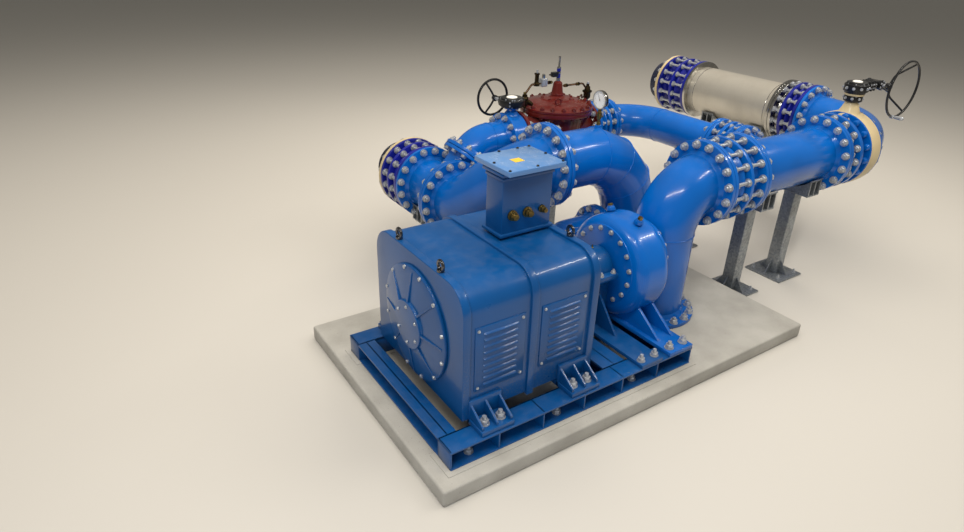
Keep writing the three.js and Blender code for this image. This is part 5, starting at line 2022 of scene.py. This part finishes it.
@dataclass
class Studio:
    """Plain pale floor, soft lights and a camera at the photograph's angle."""

    eye: Place = (-2.6, -2.66, 2.5)
    yaw: float = 34.318
    pitch: float = 27.4345
    roll: float = -1.7523
    focal_px: float = 653.55
    width_px: float = 964.0
    sensor_mm: float = 36.0
    floor_size: float = 90.0
    floor_colour: str = "bfbcb5"
    floor_roughness: float = 0.65
    floor_z: float = -0.0005
    sky_colour: str = "dcd8cf"
    sky_strength: float = 0.27

    def build(self) -> None:
        """Builds the floor, the lights, the world and the camera."""
        bpy.context.scene.view_settings.view_transform = "Standard"
        self.floor()
        self.lights()
        world = bpy.data.worlds.new("studio_world")
        world.use_nodes = True
        sky = world.node_tree.nodes["Background"]
        sky.inputs["Color"].default_value = linear(self.sky_colour)
        sky.inputs["Strength"].default_value = self.sky_strength
        bpy.context.scene.world = world
        self.camera()

    def floor(self) -> None:
        """Adds the floor, which isn't part of the object."""
        shape = bmesh.new()
        bmesh.ops.create_grid(shape, x_segments=1, y_segments=1, size=self.floor_size)
        mesh = bpy.data.meshes.new("studio_floor")
        shape.to_mesh(mesh)
        shape.free()
        material = bpy.data.materials.new("pale_studio_floor")
        material.use_nodes = True
        shader = material.node_tree.nodes["Principled BSDF"]
        shader.inputs["Base Color"].default_value = linear(self.floor_colour)
        shader.inputs["Roughness"].default_value = self.floor_roughness
        mesh.materials.append(material)
        floor = bpy.data.objects.new("studio_floor", mesh)
        floor.location.z = self.floor_z
        bpy.context.scene.collection.objects.link(floor)

    def lights(self) -> None:
        """Adds a wide ceiling softbox, two long tubes, a fill from the camera's side and a rim light."""
        panels = [
            ("ceiling_softbox", (0.8, 1.6, 7.0), (0.8, 1.8, 0.0), (13.0, 11.0), 1000.0, "fff6ea", False),
            ("left_tube", (-1.6, -1.2, 4.2), (0.6, 0.8, 0.8), (3.4, 0.12), 60.0, "fffaf2", True),
            ("right_tube", (3.2, -1.6, 4.2), (2.2, 0.6, 0.9), (3.4, 0.12), 60.0, "fffaf2", True),
            ("camera_fill", (-4.2, -3.6, 2.6), (0.8, 0.6, 0.8), (2.6, 1.8), 90.0, "eef3ff", False),
            ("back_rim", (3.8, 4.6, 3.4), (1.2, 0.8, 0.9), (3.0, 1.2), 90.0, "fff4e4", False),
        ]
        for name, at, aim, size, power, colour, mirrored in panels:
            light = bpy.data.lights.new(name, "AREA")
            light.shape = "RECTANGLE"
            light.size, light.size_y = size
            light.energy = power
            light.color = linear(colour)[:3]
            lamp = bpy.data.objects.new(name, light)
            lamp.visible_glossy = mirrored
            turn = (Vector(aim) - Vector(at)).to_track_quat("-Z", "Y")
            lamp.matrix_world = shift(at) @ turn.to_matrix().to_4x4()
            bpy.context.scene.collection.objects.link(lamp)

    def camera(self) -> None:
        """Sets the camera where the photograph was taken from."""
        yaw, pitch, roll = (radians(value) for value in (self.yaw, self.pitch, self.roll))
        ahead = Vector((sin(yaw) * cos(pitch), cos(yaw) * cos(pitch), -sin(pitch)))
        right = Vector((cos(yaw), -sin(yaw), 0.0))
        down = ahead.cross(right)
        across = right * cos(roll) + down * sin(roll)
        below = right * -sin(roll) + down * cos(roll)
        lens = bpy.data.cameras.new("photograph_camera")
        lens.sensor_width = self.sensor_mm
        lens.lens = self.sensor_mm * self.focal_px / self.width_px
        camera = bpy.data.objects.new("photograph_camera", lens)
        camera.matrix_world = shift(self.eye) @ Matrix((across, -below, -ahead)).transposed().to_4x4()
        bpy.context.scene.collection.objects.link(camera)
        bpy.context.scene.camera = camera


def assemblies() -> list[Callable[[], None]]:
    """Lists the builders of the set's sub-assemblies in order.

    Returns:
        The build methods.
    """
    spool = InletLine.spool_radius
    parts = [
        Plinth(), BaseFrame(), Generator(), ShaftLine(), Turbine(), Header(), InletLine(),
        DismantlingJoint("header_joint", Axis.X, MAIN, AZURE),
        ValveJoint(),
        DismantlingJoint("bypass_joint", Axis.X, BYPASS, AZURE),
        DismantlingJoint("branch_joint", Axis.Y, BYPASS, AZURE),
        DismantlingJoint("inlet_adaptor", Axis.Y, MAIN, ROYAL_BLUE, spigot=TURNED_STEEL),
        DismantlingJoint("inlet_wall_joint", Axis.Y, MAIN, ROYAL_BLUE, lining=0.196),
        DismantlingJoint("outlet_wall_joint", Axis.Y, MAIN, ROYAL_BLUE, lining=0.196),
        ButterflyValve("inlet_valve", 0.294, CREAM, 0.022, 0.042, 0.072, bracket=0.07),
        ButterflyValve("bypass_valve", 0.191, AZURE, 0.01, 0.034, 0.058),
        WormGearbox("inlet_gearbox", -1, 0.27, 0.09, 1.0),
        WormGearbox("bypass_gearbox", 1, -0.05, 0.15, 1.2),
        Handwheel("inlet_handwheel", "inlet_wheel", -1, 0.21, 0.009, 0.13, 0.026, radians(60), grip=True),
        Handwheel("bypass_handwheel", "bypass_wheel", 1, 0.14, 0.010, 0.045, 0.024, 0.0),
        WallPipe("inlet_wall_pipe"), WallPipe("outlet_wall_pipe"),
        ControlValve(), BypassLine(), OutletLine(), PressureGauge(),
        PipeStand("header_left", Axis.X, MAIN.pipe),
        PipeStand("header_right", Axis.X, MAIN.pipe),
        PipeStand("inlet_near", Axis.Y, spool),
        PipeStand("inlet_far", Axis.Y, spool),
        PipeStand("bypass", Axis.Y, BYPASS.pipe),
        PipeStand("control_valve", Axis.X, ControlValve.body),
        PipeStand("outlet", Axis.Y, MAIN.pipe),
    ]
    return [part.build for part in parts]


def main() -> None:
    logging.basicConfig(level=logging.INFO, format="%(message)s")
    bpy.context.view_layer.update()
    Studio().build()
    for build in assemblies():
        build()


if __name__ == "__main__":
    main()
